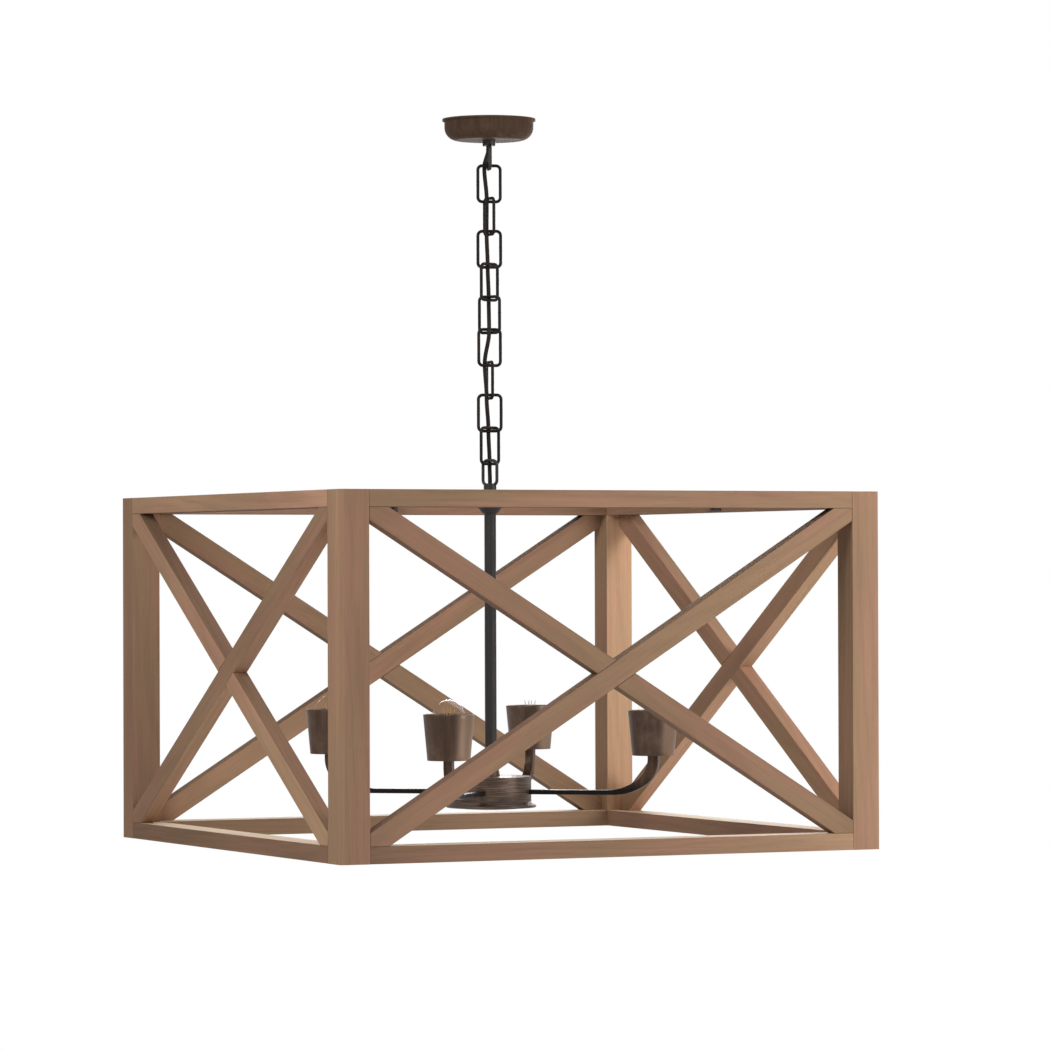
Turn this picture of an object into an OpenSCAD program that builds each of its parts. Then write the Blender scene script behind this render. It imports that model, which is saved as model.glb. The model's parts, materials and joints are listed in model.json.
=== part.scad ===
// A square wooden cage chandelier on a chain. Lengths are in millimetres.
// The origin is on the ceiling, in the middle of the bracket. The light hangs below it.

/* [Cage] */
// Width of the square cage over its corner posts
cage_w = 800; // [500:10:1200]
// Height of the cage
cage_h = 488; // [420:1:700]
// Side of each square corner post
post_w = 42; // [34:1:60]
// Height of each horizontal rail
rail_h = 23; // [20:1:45]
// Width of each diagonal brace
brace_w = 29.5; // [20:0.5:50]
// Thickness of each diagonal brace
brace_t = 21; // [14:1:24]
// Radius of the outer edge of each post
post_edge_r = 5; // [1:0.5:10]
// Radius of the eased edges of the rails and braces
ease_r = 1; // [0.5:0.5:3]

/* [Cage joinery] */
// Diameter of the dowel between a rail and a post
rail_dowel_d = 10; // [6:1:10]
// Length of that dowel inside the rail
rail_dowel_in_rail = 26; // [15:1:40]
// Length of that dowel inside the post
rail_dowel_in_post = 12; // [6:1:12]
// Diameter of the dowel at each end of a brace
brace_dowel_d = 6; // [4:1:6]
// Length of that dowel on each side of the joint
brace_dowel_in = 18; // [10:1:24]
// Glue gap around a dowel
glue_gap = 0.1; // [0.05:0.05:0.3]

/* [Hanger cross] */
// Width of each flat bar
cross_w = 30; // [24:1:45]
// Thickness of the flat bars
cross_t = 3; // [2:0.5:5]
// Depth of the cross below the top of the cage
cross_drop = 8; // [4:1:9]
// Height of the tabs at the ends of the bars
cross_tab_h = 13; // [12:0.5:14]
// Diameter of the boss under the cross
boss_d = 39; // [26:1:60]
// Diameter of the boss where the stem enters it
boss_foot_d = 21; // [19:0.5:26]
// Height of the boss
boss_h = 15; // [12:1:30]
// Height of the straight band at the top of the boss
boss_band_h = 4; // [2:0.5:8]
// Diameter of the wood screws
wood_screw_d = 4; // [3:0.5:4.5]
// Length of the wood screws under the head
wood_screw_l = 20; // [12:1:30]
// Diameter of their heads
wood_screw_head_d = 7; // [6:0.5:8]
// Height of their heads
wood_screw_head_h = 2.4; // [1.5:0.1:3]
// Distance between the two screws of a tab
wood_screw_spread = 16; // [12:1:20]

/* [Chain] */
// Wire of a chain link
link_wire = 4.4; // [3.2:0.1:5]
// Outer width of a link
link_w = 36.2; // [32:0.2:46]
// Length of a link's opening
link_inner = 46.2; // [40:0.2:60]
// Corner radius of a link, at the middle of its wire
link_corner_r = 6; // [4:0.5:9]
// Wire of the two end loops
loop_wire = 4.5; // [4:0.1:6]
// Outer width of the end loops
loop_w = 27; // [25:0.5:36]
// Length of an end loop's opening
loop_inner = 30; // [26:0.5:50]
// Corner radius of an end loop, at the middle of its wire
loop_corner_r = 7; // [4:0.5:8]
// Diameter of the collar under or over an end loop
loop_collar_d = 18; // [16:0.5:26]
// Height of the collar under the lower loop
eye_collar_h = 24.2; // [20:0.1:40]
// Gap between two linked bars
link_gap = 0.2; // [0.1:0.05:0.4]

/* [Lamp cord] */
// Diameter of the lamp cord
cord_d = 5.8; // [4:0.1:6.5]
// Gap between the cord and a bar of the chain
cord_gap = 0.6; // [0.4:0.1:1.5]
// Diameter of the wireway through the loops and the boss
wireway_d = 7.2; // [7:0.1:8]

/* [Canopy] */
// Diameter of the ceiling canopy
canopy_d = 125; // [118:1:180]
// Depth of the canopy
canopy_h = 30; // [26:1:60]
// Wall of the canopy
canopy_wall = 1.5; // [1:0.1:3]
// Radius of the canopy's shoulder
canopy_shoulder_r = 18; // [8:1:22]
// Width of the bead round the canopy's rim
canopy_bead = 3; // [1:0.5:6]
// Length of the ceiling bracket
bracket_l = 108; // [106:1:112]
// Width of the ceiling bracket
bracket_w = 24; // [22:1:30]
// Thickness of the ceiling bracket
bracket_t = 3; // [2:0.5:4]
// Depth of the bracket's middle below the ceiling
bracket_drop = 17; // [15:0.5:20]
// Length of the bracket's lowered middle
bracket_mid_l = 42; // [40:1:50]
// Distance between the ceiling screws
bolt_spacing = 88; // [84:1:92]
// Diameter of the holes for the ceiling screws
bolt_hole_d = 5; // [4:0.5:6]
// Outer diameter of the threaded tubes
nipple_d = 10; // [9.6:0.1:12]
// Height of the collar of the canopy's loop
canopy_collar_h = 8; // [6:1:16]

/* [Stem and hub] */
// Outer diameter of the stem
stem_d = 16.5; // [14:0.5:24]
// Bore of the stem
stem_bore = 11; // [8:0.5:12]
// Length of the stem between the boss and the hub
stem_l = 368.5; // [250:0.5:380]
// Diameter of the hub's drum
hub_d = 113; // [100:1:150]
// Height of the hub's drum
hub_h = 35.5; // [32:0.5:50]
// Wall of the hub
hub_wall = 2.5; // [1.5:0.5:3]
// Diameter of the hub's neck
hub_neck_d = 26; // [24:1:40]
// Diameter of the neck where the stem enters
hub_neck_top_d = 21; // [18:1:24]
// Height of the hub's neck
hub_neck_h = 12; // [6:1:20]
// Diameter of the hub's flared base
base_d = 127; // [118:1:170]
// Height of the hub's flared base
base_h = 11.5; // [10:0.5:20]
// Radius of the roll round the base's edge
base_lip_r = 2.2; // [1.6:0.1:2.8]

/* [Arms and cups] */
// Distance from the stem to the middle of each cup
arm_reach = 233; // [200:1:260]
// Width of an arm
arm_w = 12; // [11.5:0.5:24]
// Thickness of an arm's level part
arm_t = 6.5; // [6:0.5:9]
// Wall of an arm
arm_wall = 1.5; // [1:0.1:2]
// Thickness of an arm where it meets its cup
arm_horn_t = 15; // [14:0.5:24]
// Distance the arm's horn reaches in from the middle of the cup
arm_horn_in = 7; // [6.5:0.1:7.6]
// Turn of the wide part of an arm's bend
arm_wide_turn = 35; // [25:1:42]
// Radius of the wide part of the bend
arm_wide_r = 80; // [60:1:90]
// Radius of the tight part of the bend on its inside
arm_inner_r = 36; // [30:1:40]
// Radius of the tight part of the bend on its outside
arm_outer_r = 42; // [34:1:46]
// Height from the middle of the level arm to the cup
arm_rise = 52; // [50:0.2:80]
// Turn of the arms from the cage's diagonals
arm_turn = 6; // [-15:1:15]
// Height of a cup
cup_h = 63; // [50:1:90]
// Diameter of a cup's rim
cup_top_d = 70; // [64:1:100]
// Diameter of a cup's foot
cup_foot_d = 58.5; // [48:0.5:70]
// Wall of a cup
cup_wall = 1.5; // [1:0.1:2.5]

/* [Lamp holders and bulbs] */
// Diameter of a lamp holder
holder_d = 38; // [34:1:42]
// Height of a lamp holder
holder_h = 36; // [30:1:40]
// Thickness of a lamp holder's base
holder_base_t = 8; // [7:0.5:12]
// Gap between a bulb's cap and its holder
bulb_gap = 0.3; // [0.2:0.1:0.6]
// Length of a bulb
bulb_l = 72; // [66:1:110]
// Diameter of a bulb's globe
bulb_d = 45; // [40:1:48]
// Wall of the glass
glass_wall = 0.8; // [0.5:0.1:1.5]
// Diameter of a bulb's cap
cap_d = 26; // [24:0.5:27]
// Height of a bulb's cap
cap_h = 25; // [20:0.5:30]

/* [Hidden] */

$fn = 48;
// How far a cutting tool runs past the face that it cuts
over = 1;
// Gap of every threaded or loosely fitted joint
fit = 0.1;
// Angle of one side of the cage to the next, and of one arm to the next
quarter = 90;

// Colours
wood = "#96765c";
dowel_wood = "#c7a77d";
bronze = "#4b3d31";
black_metal = "#2e2d2f";
zinc = "#9a9a98";
brass = "#b8923f";
ceramic = "#d9d4c8";
cord_black = "#26221f";
glass = [0.86, 0.93, 0.96, 0.45];

// Turns of the chain about its own line, from the face that the chain shows the front
face_turn = -25.24;
loop_turn = -80;
link_turns = [10, -65, 0, 45, -27, 18, -75, 0, 40];
eye_turn = -30;
turns = concat([loop_turn], link_turns, [eye_turn]);
links = len(link_turns);
pitch = link_inner - link_gap;

// Heights of the canopy and the chain
loop_seat_z = -canopy_h - canopy_collar_h - loop_inner;
eye_seat_z = loop_seat_z - links * pitch;
eye_floor_z = eye_seat_z + link_gap - loop_inner;

// Heights of the cage
cage_top_z = eye_floor_z - eye_collar_h + cross_drop;
cage_base_z = cage_top_z - cage_h;
cross_top_z = cage_top_z - cross_drop;
boss_top_z = cross_top_z - cross_t;
boss_base_z = boss_top_z - boss_h;
cage_mid_z = (cage_top_z + cage_base_z) / 2;
half_w = cage_w / 2;
opening_w = cage_w - 2 * post_w;
opening_h = cage_h - 2 * rail_h;
diagonal = sqrt(opening_w * opening_w + opening_h * opening_h);
brace_slope = atan2(opening_h, opening_w);
cross_screw_z = cross_top_z - cross_t - (cross_tab_h - cross_t) / 2;

// Heights of the stem, the hub and the cups
nut_h = 5;
nut_d = 27;
stem_in_boss = boss_h / 2;
stem_in_hub = hub_wall + nut_h + over;
hub_top_z = boss_base_z - stem_l;
drum_base_z = hub_top_z - hub_h;
base_z = drum_base_z - base_h;
arm_height_share = 0.606;
arm_z = hub_top_z - hub_h * arm_height_share;
cup_z = arm_z + arm_rise;
cup_flare = (cup_top_d - cup_foot_d) * cup_wall / cup_h;
spigot_l = cup_wall + holder_base_t / 2;
holder_z = cup_z + cup_wall;
socket_floor_z = holder_z + holder_base_t;
contact_gap = 1;
bulb_z = socket_floor_z + contact_gap;
neck_top_z = max(bulb_z + cap_h, holder_z + holder_h);
shoulder_share = 0.6;
globe_z = bulb_z + bulb_l - bulb_d / 2;
arm_angle = arm_turn - quarter / 2;

// The splice in the hub and the flat leads in the arms
splice_d = 32;
splice_h = 10;
splice_z = arm_z - splice_h / 2;
lead_w = 4;
lead_t = 2;
lead_bend_r = (arm_inner_r + arm_outer_r) / 2;

// The fixings of the hub's cover
lug_d = 9;
lug_reach_share = 0.33;
lug_reach = hub_d * lug_reach_share;
cover_screw_d = 4;
cover_screw_l = 22;
cover_head_d = 7.4;
cover_head_h = 2.2;
arm_grip_share = 0.6;
arm_inner_end = hub_d / 2 - hub_wall - arm_w * arm_grip_share;

// The shallow bowl under the hub, part of a large ball
bowl_depth = 4.5;
bowl_sides = 720;
lip_z = bowl_depth + base_lip_r / 2;
bowl_r = (pow(base_d / 2, 2) + pow(bowl_depth, 2)) / (2 * bowl_depth);
cover_head_z = base_z + bowl_r - sqrt(pow(bowl_r, 2) - pow(lug_reach, 2));

// The mouth of the cover stays inside both the drum and the base
cover_mouth_r = min(hub_d / 2, base_d / 2 - base_lip_r) - 2 * hub_wall;

// The terminal block over the canopy's loop
block_l = 24;
block_w = 14;
block_h = bracket_drop - bracket_t - fit - over;
block_z = bracket_t - bracket_drop + fit;

// A square whose four corners have their own radii, counted anticlockwise from the origin
module eased_rect(w, h, radii) {
    corners = [[0, 0], [w, 0], [w, h], [0, h]];
    inward = [[1, 1], [-1, 1], [-1, -1], [1, -1]];
    difference() {
        square([w, h]);
        for (i = [0:len(corners) - 1])
            translate(corners[i]) scale_corner(inward[i])
                difference() {
                    translate([-over, -over]) square(radii[i] + over);
                    translate([radii[i], radii[i]]) circle(radii[i]);
                }
    }
}

// Mirrors a corner tool so that it points into the square
module scale_corner(way) {
    mirror([way[0] < 0 ? 1 : 0, 0]) mirror([0, way[1] < 0 ? 1 : 0]) children();
}

// A beam along X, its section in Y and Z, starting at the origin
module beam(l, d, h, radii) {
    rotate([90, 0, 90]) linear_extrude(l) eased_rect(d, h, radii);
}

// Places a piece of the front wall on wall k, anticlockwise from the front
module wall(k) {
    rotate([0, 0, quarter * k]) children();
}

// The dowels of the front wall, grown by gap for their holes
module rail_dowels(gap) {
    for (side = [-1, 1], z = [cage_base_z + rail_h / 2, cage_top_z - rail_h / 2])
        translate([side * opening_w / 2, post_w / 2 - half_w, z])
            rotate([0, -90 * side, 0])
                translate([0, 0, -rail_dowel_in_post - gap])
                    cylinder(h = rail_dowel_in_post + rail_dowel_in_rail + 2 * gap,
                        d = rail_dowel_d + 2 * gap);
}

module brace_dowels(gap) {
    for (side = [-1, 1], up = [-1, 1])
        translate([side * opening_w / 2, brace_t / 2 - half_w, cage_mid_z + up * opening_h / 2])
            rotate([0, atan2(-side * cos(brace_slope), -up * sin(brace_slope)), 0])
                cylinder(h = 2 * (brace_dowel_in + gap), d = brace_dowel_d + 2 * gap, center = true);
}

module post(k) {
    color(wood) difference() {
        wall(k) translate([-half_w, -half_w, cage_base_z])
            linear_extrude(cage_h) eased_rect(post_w, post_w, [post_edge_r, ease_r, ease_r, ease_r]);
        for (side = [k, k - 1])
            wall(side) {
                rail_dowels(glue_gap);
                brace_dowels(glue_gap);
            }
    }
}

module rail(k, z) {
    color(wood) wall(k) difference() {
        translate([-opening_w / 2, -half_w, z]) beam(opening_w, post_w, rail_h, [for (i = [1:4]) ease_r]);
        rail_dowels(glue_gap);
        brace_dowels(glue_gap);
        wood_screws(fit);
    }
}

// One diagonal of the front wall. Its way is 1 where it rises to the right
module brace_strip(way, y, t, radii) {
    l = diagonal + brace_w;
    translate([0, y - half_w, cage_mid_z]) rotate([0, -way * brace_slope, 0])
        translate([-l / 2, 0, -brace_w / 2]) beam(l, t, brace_w, radii);
}

// The rising brace keeps its outer half where the two cross, the falling one its inner half
module brace(k, way) {
    color(wood) wall(k) difference() {
        intersection() {
            brace_strip(way, 0, brace_t, [for (i = [1:4]) ease_r]);
            translate([-opening_w / 2, -half_w - over, cage_mid_z - opening_h / 2])
                cube([opening_w, brace_t + 2 * over, opening_h]);
        }
        brace_strip(-way, way > 0 ? brace_t / 2 : -over, brace_t / 2 + over, [0, 0, 0, 0]);
        brace_dowels(glue_gap);
    }
}

module frame_dowels() {
    color(dowel_wood) for (k = [0:3]) wall(k) {
        rail_dowels(0);
        brace_dowels(0);
    }
}

// The pair of screws that hold the cross to the front rail, grown by gap for their holes
module wood_screws(gap) {
    for (side = [-1, 1])
        translate([side * wood_screw_spread / 2, post_w - half_w + cross_t, cross_screw_z])
            rotate([90, 0, 0]) {
                cylinder(h = wood_screw_l + gap, d = wood_screw_d + 2 * gap);
                translate([0, 0, -wood_screw_head_h - gap])
                    cylinder(h = wood_screw_head_h + gap, d = wood_screw_head_d + 2 * gap);
            }
}

module cross_screws() {
    color(zinc) for (k = [0:3]) wall(k) wood_screws(0);
}

module hanger_cross() {
    color(black_metal) difference() {
        for (k = [0:3]) wall(k) {
            translate([-cross_w / 2, post_w - half_w, boss_top_z])
                cube([cross_w, half_w - post_w, cross_t]);
            translate([-cross_w / 2, post_w - half_w, cross_top_z - cross_tab_h])
                cube([cross_w, cross_t, cross_tab_h]);
        }
        for (k = [0:3]) wall(k) wood_screw_shanks();
        translate([0, 0, boss_top_z - over]) cylinder(h = cross_t + 2 * over, d = nipple_d + 2 * fit);
    }
}

// The clearance holes for the screws through the tabs
module wood_screw_shanks() {
    for (side = [-1, 1])
        translate([side * wood_screw_spread / 2, post_w - half_w + cross_t + over, cross_screw_z])
            rotate([90, 0, 0]) cylinder(h = cross_t + 2 * over, d = wood_screw_d + 2 * fit);
}

module stem_boss() {
    color(black_metal) difference() {
        union() {
            translate([0, 0, boss_top_z - boss_band_h]) cylinder(h = boss_band_h, d = boss_d);
            translate([0, 0, boss_base_z])
                cylinder(h = boss_h - boss_band_h, d1 = boss_foot_d, d2 = boss_d);
        }
        translate([0, 0, boss_base_z - over]) cylinder(h = boss_h + 2 * over, d = nipple_d + 2 * fit);
        translate([0, 0, boss_base_z - over])
            cylinder(h = stem_in_boss + over, d = stem_d + 2 * fit);
    }
}

module stem() {
    l = stem_in_boss + stem_l + stem_in_hub;
    color(black_metal) translate([0, 0, boss_base_z + stem_in_boss - l]) difference() {
        cylinder(h = l, d = stem_d);
        translate([0, 0, -over]) cylinder(h = l + 2 * over, d = stem_bore);
    }
}

// A closed link of round wire in the XZ plane. The floor of its opening is at the origin
module wire_loop(w, inner, wire, r) {
    half = (w - wire) / 2;
    low = -wire / 2;
    high = inner + wire / 2;
    for (z = [low, high])
        translate([r - half, 0, z]) rotate([0, 90, 0]) cylinder(h = 2 * (half - r), d = wire);
    for (side = [-1, 1])
        translate([side * half, 0, low + r]) cylinder(h = high - low - 2 * r, d = wire);
    for (side = [0, 1], end = [0, 1])
        mirror([side, 0, 0])
            translate([half - r, 0, end == 0 ? low + r : high - r])
                mirror([0, 0, 1 - end]) wire_corner(r, wire);
}

// A quarter turn of round wire in the XZ plane, from +X to +Z
module wire_corner(r, wire) {
    rotate([90, 0, 0]) rotate_extrude(angle = 90) translate([r, 0]) circle(d = wire);
}

// Link i of the chain, counted down from the canopy
module link(i) {
    color(black_metal) translate([0, 0, loop_seat_z - i * pitch]) rotate([0, 0, face_turn + turns[i]])
        wire_loop(link_w, link_inner, link_wire, link_corner_r);
}

// An end loop under a collar, with a threaded tube and a wireway through both
module end_loop(collar_h, tube_l) {
    difference() {
        union() {
            wire_loop(loop_w, loop_inner, loop_wire, loop_corner_r);
            translate([0, 0, loop_inner]) cylinder(h = collar_h, d = loop_collar_d);
            translate([0, 0, loop_inner + collar_h - over]) cylinder(h = tube_l + over, d = nipple_d);
        }
        translate([0, 0, loop_inner - over])
            cylinder(h = collar_h + tube_l + 2 * over, d = wireway_d);
    }
}

module canopy_loop() {
    tube_l = canopy_h - bracket_drop + bracket_t;
    color(black_metal) translate([0, 0, loop_seat_z]) rotate([0, 0, face_turn + loop_turn])
        end_loop(canopy_collar_h, tube_l);
}

module hanging_eye() {
    tube_l = cross_t + boss_h - stem_in_boss - over;
    color(black_metal) translate([0, 0, eye_seat_z + link_gap]) rotate([0, 0, face_turn + eye_turn])
        mirror([0, 0, 1]) end_loop(eye_collar_h, tube_l);
}

module canopy_outline(inset) {
    r = canopy_d / 2 - inset;
    h = canopy_h - inset;
    shoulder = canopy_shoulder_r - inset;
    translate([0, -h]) square([r - shoulder, h]);
    translate([0, shoulder - h]) square([r, h - shoulder]);
    translate([r - shoulder, shoulder - h]) circle(shoulder);
}

module canopy() {
    color(bronze) difference() {
        rotate_extrude() intersection() {
            difference() {
                union() {
                    canopy_outline(0);
                    translate([canopy_d / 2 - canopy_wall, -canopy_bead])
                        square([canopy_bead + canopy_wall, canopy_bead]);
                }
                canopy_outline(canopy_wall);
                translate([0, -canopy_h / 2]) square([canopy_d / 2 - canopy_wall, canopy_h]);
            }
            translate([0, -canopy_h - over]) square([canopy_d, canopy_h + over]);
        }
        translate([0, 0, -canopy_h - over])
            cylinder(h = canopy_wall + 2 * over, d = nipple_d + 2 * fit);
    }
}

module ceiling_bracket() {
    half = bracket_l / 2;
    mid = bracket_mid_l / 2;
    t = bracket_t;
    low = -bracket_drop;
    color(zinc) difference() {
        union() {
            translate([0, bracket_w / 2, 0]) rotate([90, 0, 0]) linear_extrude(bracket_w)
                polygon([[-half, 0], [-half, -t], [-mid - t, -t], [-mid - t, low], [mid + t, low],
                    [mid + t, -t], [half, -t], [half, 0], [mid, 0], [mid, low + t],
                    [-mid, low + t], [-mid, 0]]);
        }
        for (side = [-1, 1])
            translate([side * bolt_spacing / 2, 0, -t - over])
                cylinder(h = t + 2 * over, d = bolt_hole_d);
        translate([0, 0, low - over]) cylinder(h = t + 2 * over, d = nipple_d + 2 * fit);
    }
}

module terminal_block() {
    color(ceramic) difference() {
        translate([-block_l / 2, -block_w / 2, block_z]) cube([block_l, block_w, block_h]);
        for (side = [-1, 0, 1])
            translate([side * block_l / 3, 0, block_z + block_h / 2])
                rotate([90, 0, 0]) cylinder(h = block_w + 2 * over, d = block_h / 3, center = true);
    }
}

// The lamp cord runs from the terminal block to the splice in the hub. At each crossing of two bars
// it stands in the wider gap between them, always on the left of the chain, so it hangs nearly straight.
function wire_at(i) = i == 0 || i == links + 1 ? loop_wire : link_wire;
function seat_z(i) = loop_seat_z - i * pitch;
function spread(i) = (turns[i + 1] - turns[i] + 360) % 180;
function wide(i) = max(spread(i), 180 - spread(i));
function bisector(i) = (turns[spread(i) >= quarter ? i : i + 1] + wide(i) / 2 + 360) % 180;
function left_bisector(i) = bisector(i) + (cos(bisector(i)) > 0 ? 180 : 0);
function cord_out(i) = (max(wire_at(i), wire_at(i + 1)) / 2 + cord_d / 2 + cord_gap) / sin(wide(i) / 2);
function crossing(i) = [
    cord_out(i) * cos(face_turn + left_bisector(i)),
    cord_out(i) * sin(face_turn + left_bisector(i)),
    seat_z(i)];
cord_top = [0, 0, block_z];
cord_end = [0, 0, splice_z + splice_h + fit];
cord_knots = concat(
    [cord_top, [0, 0, loop_seat_z + loop_inner]],
    [for (i = [0:links]) crossing(i)],
    [[0, 0, eye_floor_z], cord_end]);
cord_steps = concat([1], [for (i = [0:links + 1]) 4], [1]);
function ease(t) = (1 - cos(180 * t)) / 2;
function between(a, b, t) = [a[0] + (b[0] - a[0]) * ease(t), a[1] + (b[1] - a[1]) * ease(t),
    a[2] + (b[2] - a[2]) * t];
cord_route = concat(
    [for (k = [0:len(cord_steps) - 1], j = [0:cord_steps[k] - 1])
        between(cord_knots[k], cord_knots[k + 1], j / cord_steps[k])],
    [cord_end]);
cord_sides = 10;
function unit(v) = v / norm(v);
function tangent(i) = i == 0 || i == len(cord_route) - 1 ? [0, 0, -1]
    : unit(cord_route[i + 1] - cord_route[i - 1]);
function ring(i) = let (t = tangent(i), a = unit(cross(t, [0, 1, 0])), b = cross(t, a))
    [for (k = [0:cord_sides - 1])
        cord_route[i] + cord_d / 2 * (cos(360 * k / cord_sides) * a + sin(360 * k / cord_sides) * b)];

module lamp_cord() {
    rings = len(cord_route);
    points = [for (i = [0:rings - 1]) each ring(i)];
    faces = concat(
        [[for (k = [0:cord_sides - 1]) k]],
        [for (i = [0:rings - 2], k = [0:cord_sides - 1], half = [0, 1])
            let (a = i * cord_sides + k, b = i * cord_sides + (k + 1) % cord_sides)
            half == 0 ? [a, a + cord_sides, b] : [b, a + cord_sides, b + cord_sides]],
        [[for (k = [cord_sides - 1:-1:0]) (rings - 1) * cord_sides + k]]);
    color(cord_black) polyhedron(points, faces);
}

// Places a piece of the front right arm on arm k, anticlockwise
module on_arm(k) {
    rotate([0, 0, arm_angle + quarter * k]) children();
}

// All that lies over a level edge at floor_z and within its bend up to an upright edge at end_x
module bend_inside(x, end_x, floor_z, wide_r, tight_r, top) {
    tight_x = end_x - tight_r;
    tight_z = floor_z + wide_r - (wide_r - tight_r) * cos(arm_wide_turn);
    start_x = tight_x - (wide_r - tight_r) * sin(arm_wide_turn);
    translate([x, floor_z]) square([start_x - x, top - floor_z]);
    translate([start_x, tight_z]) square([end_x - start_x, top - tight_z]);
    intersection() {
        translate([start_x, floor_z + wide_r]) circle(wide_r);
        polygon([[start_x, tight_z], [start_x, floor_z - over],
            [start_x + (wide_r + over) * tan(arm_wide_turn), floor_z - over], [tight_x, tight_z]]);
    }
    intersection() {
        translate([tight_x, tight_z]) circle(tight_r);
        translate([tight_x, tight_z - tight_r]) square(tight_r);
    }
}

// The side view of an arm, drawn in by inset, from x to the top of its horn
module arm_outline(x, inset, top) {
    inner_x = arm_reach - arm_horn_in;
    difference() {
        bend_inside(x, inner_x + arm_horn_t - inset, arm_z - arm_t / 2 + inset,
            arm_wide_r - inset, arm_outer_r - inset, top);
        bend_inside(x - over, inner_x + inset, arm_z + arm_t / 2 - inset,
            arm_wide_r + inset, arm_inner_r + inset, top + over);
    }
}

module arm(k) {
    color(black_metal) on_arm(k) difference() {
        union() {
            translate([0, arm_w / 2, 0]) rotate([90, 0, 0]) linear_extrude(arm_w)
                arm_outline(arm_inner_end, 0, cup_z);
            translate([arm_reach, 0, cup_z - arm_wall]) cylinder(h = spigot_l + arm_wall, d = nipple_d);
        }
        translate([0, arm_w / 2 - arm_wall, 0]) rotate([90, 0, 0])
            linear_extrude(arm_w - 2 * arm_wall)
                arm_outline(arm_inner_end - over, arm_wall, cup_z - arm_wall);
        translate([arm_reach, 0, cup_z - arm_wall - over])
            cylinder(h = spigot_l + arm_wall + 2 * over, d = wireway_d);
    }
}

module cup(k) {
    color(bronze) on_arm(k) translate([arm_reach, 0, cup_z]) difference() {
        cylinder(h = cup_h, d1 = cup_foot_d, d2 = cup_top_d);
        translate([0, 0, cup_wall])
            cylinder(h = cup_h, d1 = cup_foot_d - 2 * cup_wall + cup_flare,
                d2 = cup_top_d - 2 * cup_wall + cup_flare);
        translate([0, 0, -over]) cylinder(h = cup_wall + 2 * over, d = nipple_d + 2 * fit);
    }
}

module holder(k) {
    color(ceramic) on_arm(k) translate([arm_reach, 0, holder_z]) difference() {
        cylinder(h = holder_h, d = holder_d);
        translate([0, 0, holder_base_t]) cylinder(h = holder_h, d = cap_d + 2 * bulb_gap);
        translate([0, 0, -over])
            cylinder(h = spigot_l - cup_wall + fit + over, d = nipple_d + 2 * fit);
    }
}

// Inside and outside of a bulb's glass
module globe(inset) {
    r = bulb_d / 2 - inset;
    neck_r = cap_d / 2 - glass_wall / 2 - inset;
    neck_z = bulb_z + cap_h / 2;
    shoulder_z = globe_z - r * shoulder_share;
    translate([0, 0, globe_z]) sphere(r);
    translate([0, 0, neck_z - inset]) cylinder(h = globe_z - neck_z, r = neck_r);
    translate([0, 0, neck_top_z])
        cylinder(h = shoulder_z - neck_top_z, r1 = neck_r, r2 = r * sqrt(1 - pow(shoulder_share, 2)));
}

module bulb(k) {
    on_arm(k) translate([arm_reach, 0, 0]) {
        color(glass) difference() {
            globe(0);
            globe(glass_wall);
        }
        color(brass) difference() {
            union() {
                translate([0, 0, bulb_z + cap_h / 4]) cylinder(h = cap_h * 3 / 4, d = cap_d);
                translate([0, 0, bulb_z]) cylinder(h = cap_h / 4, d1 = cap_d / 3, d2 = cap_d);
            }
            translate([0, 0, bulb_z + cap_h / 4]) cylinder(h = cap_h, d = cap_d - 2 * glass_wall);
        }
    }
}

module lugs(d, low, high, gap) {
    for (side = [0, 1])
        rotate([0, 0, arm_angle + quarter / 2 + 180 * side])
            translate([lug_reach, 0, low]) cylinder(h = high - low, d = d + 2 * gap);
}

module hub_body() {
    inner_d = hub_d - 2 * hub_wall;
    color(bronze) difference() {
        union() {
            difference() {
                translate([0, 0, drum_base_z]) cylinder(h = hub_h, d = hub_d);
                translate([0, 0, drum_base_z - over]) cylinder(h = hub_h - hub_wall + over, d = inner_d);
            }
            translate([0, 0, hub_top_z]) cylinder(h = hub_neck_h, d1 = hub_neck_d, d2 = hub_neck_top_d);
            lugs(lug_d, drum_base_z, hub_top_z - over, 0);
        }
        translate([0, 0, drum_base_z])
            cylinder(h = hub_h + hub_neck_h + over, d = stem_d + 2 * fit);
        for (k = [0:3]) on_arm(k)
            translate([arm_inner_end, -arm_w / 2 - fit, arm_z - arm_t / 2 - fit])
                cube([hub_d / 2, arm_w + 2 * fit, arm_t + 2 * fit]);
        lugs(cover_screw_d, drum_base_z - over, cover_head_z + cover_screw_l + over, fit);
    }
}

// The flared base, a shallow dish whose floor is part of a large ball
module cover_outline(inset, top_r) {
    r = base_d / 2 - base_lip_r - inset;
    intersection() {
        polygon([[0, base_h - inset], [top_r, base_h - inset],
            [r, lip_z], [r, -over], [0, -over]]);
        translate([0, bowl_r + inset]) circle(bowl_r, $fn = bowl_sides);
    }
}

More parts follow.
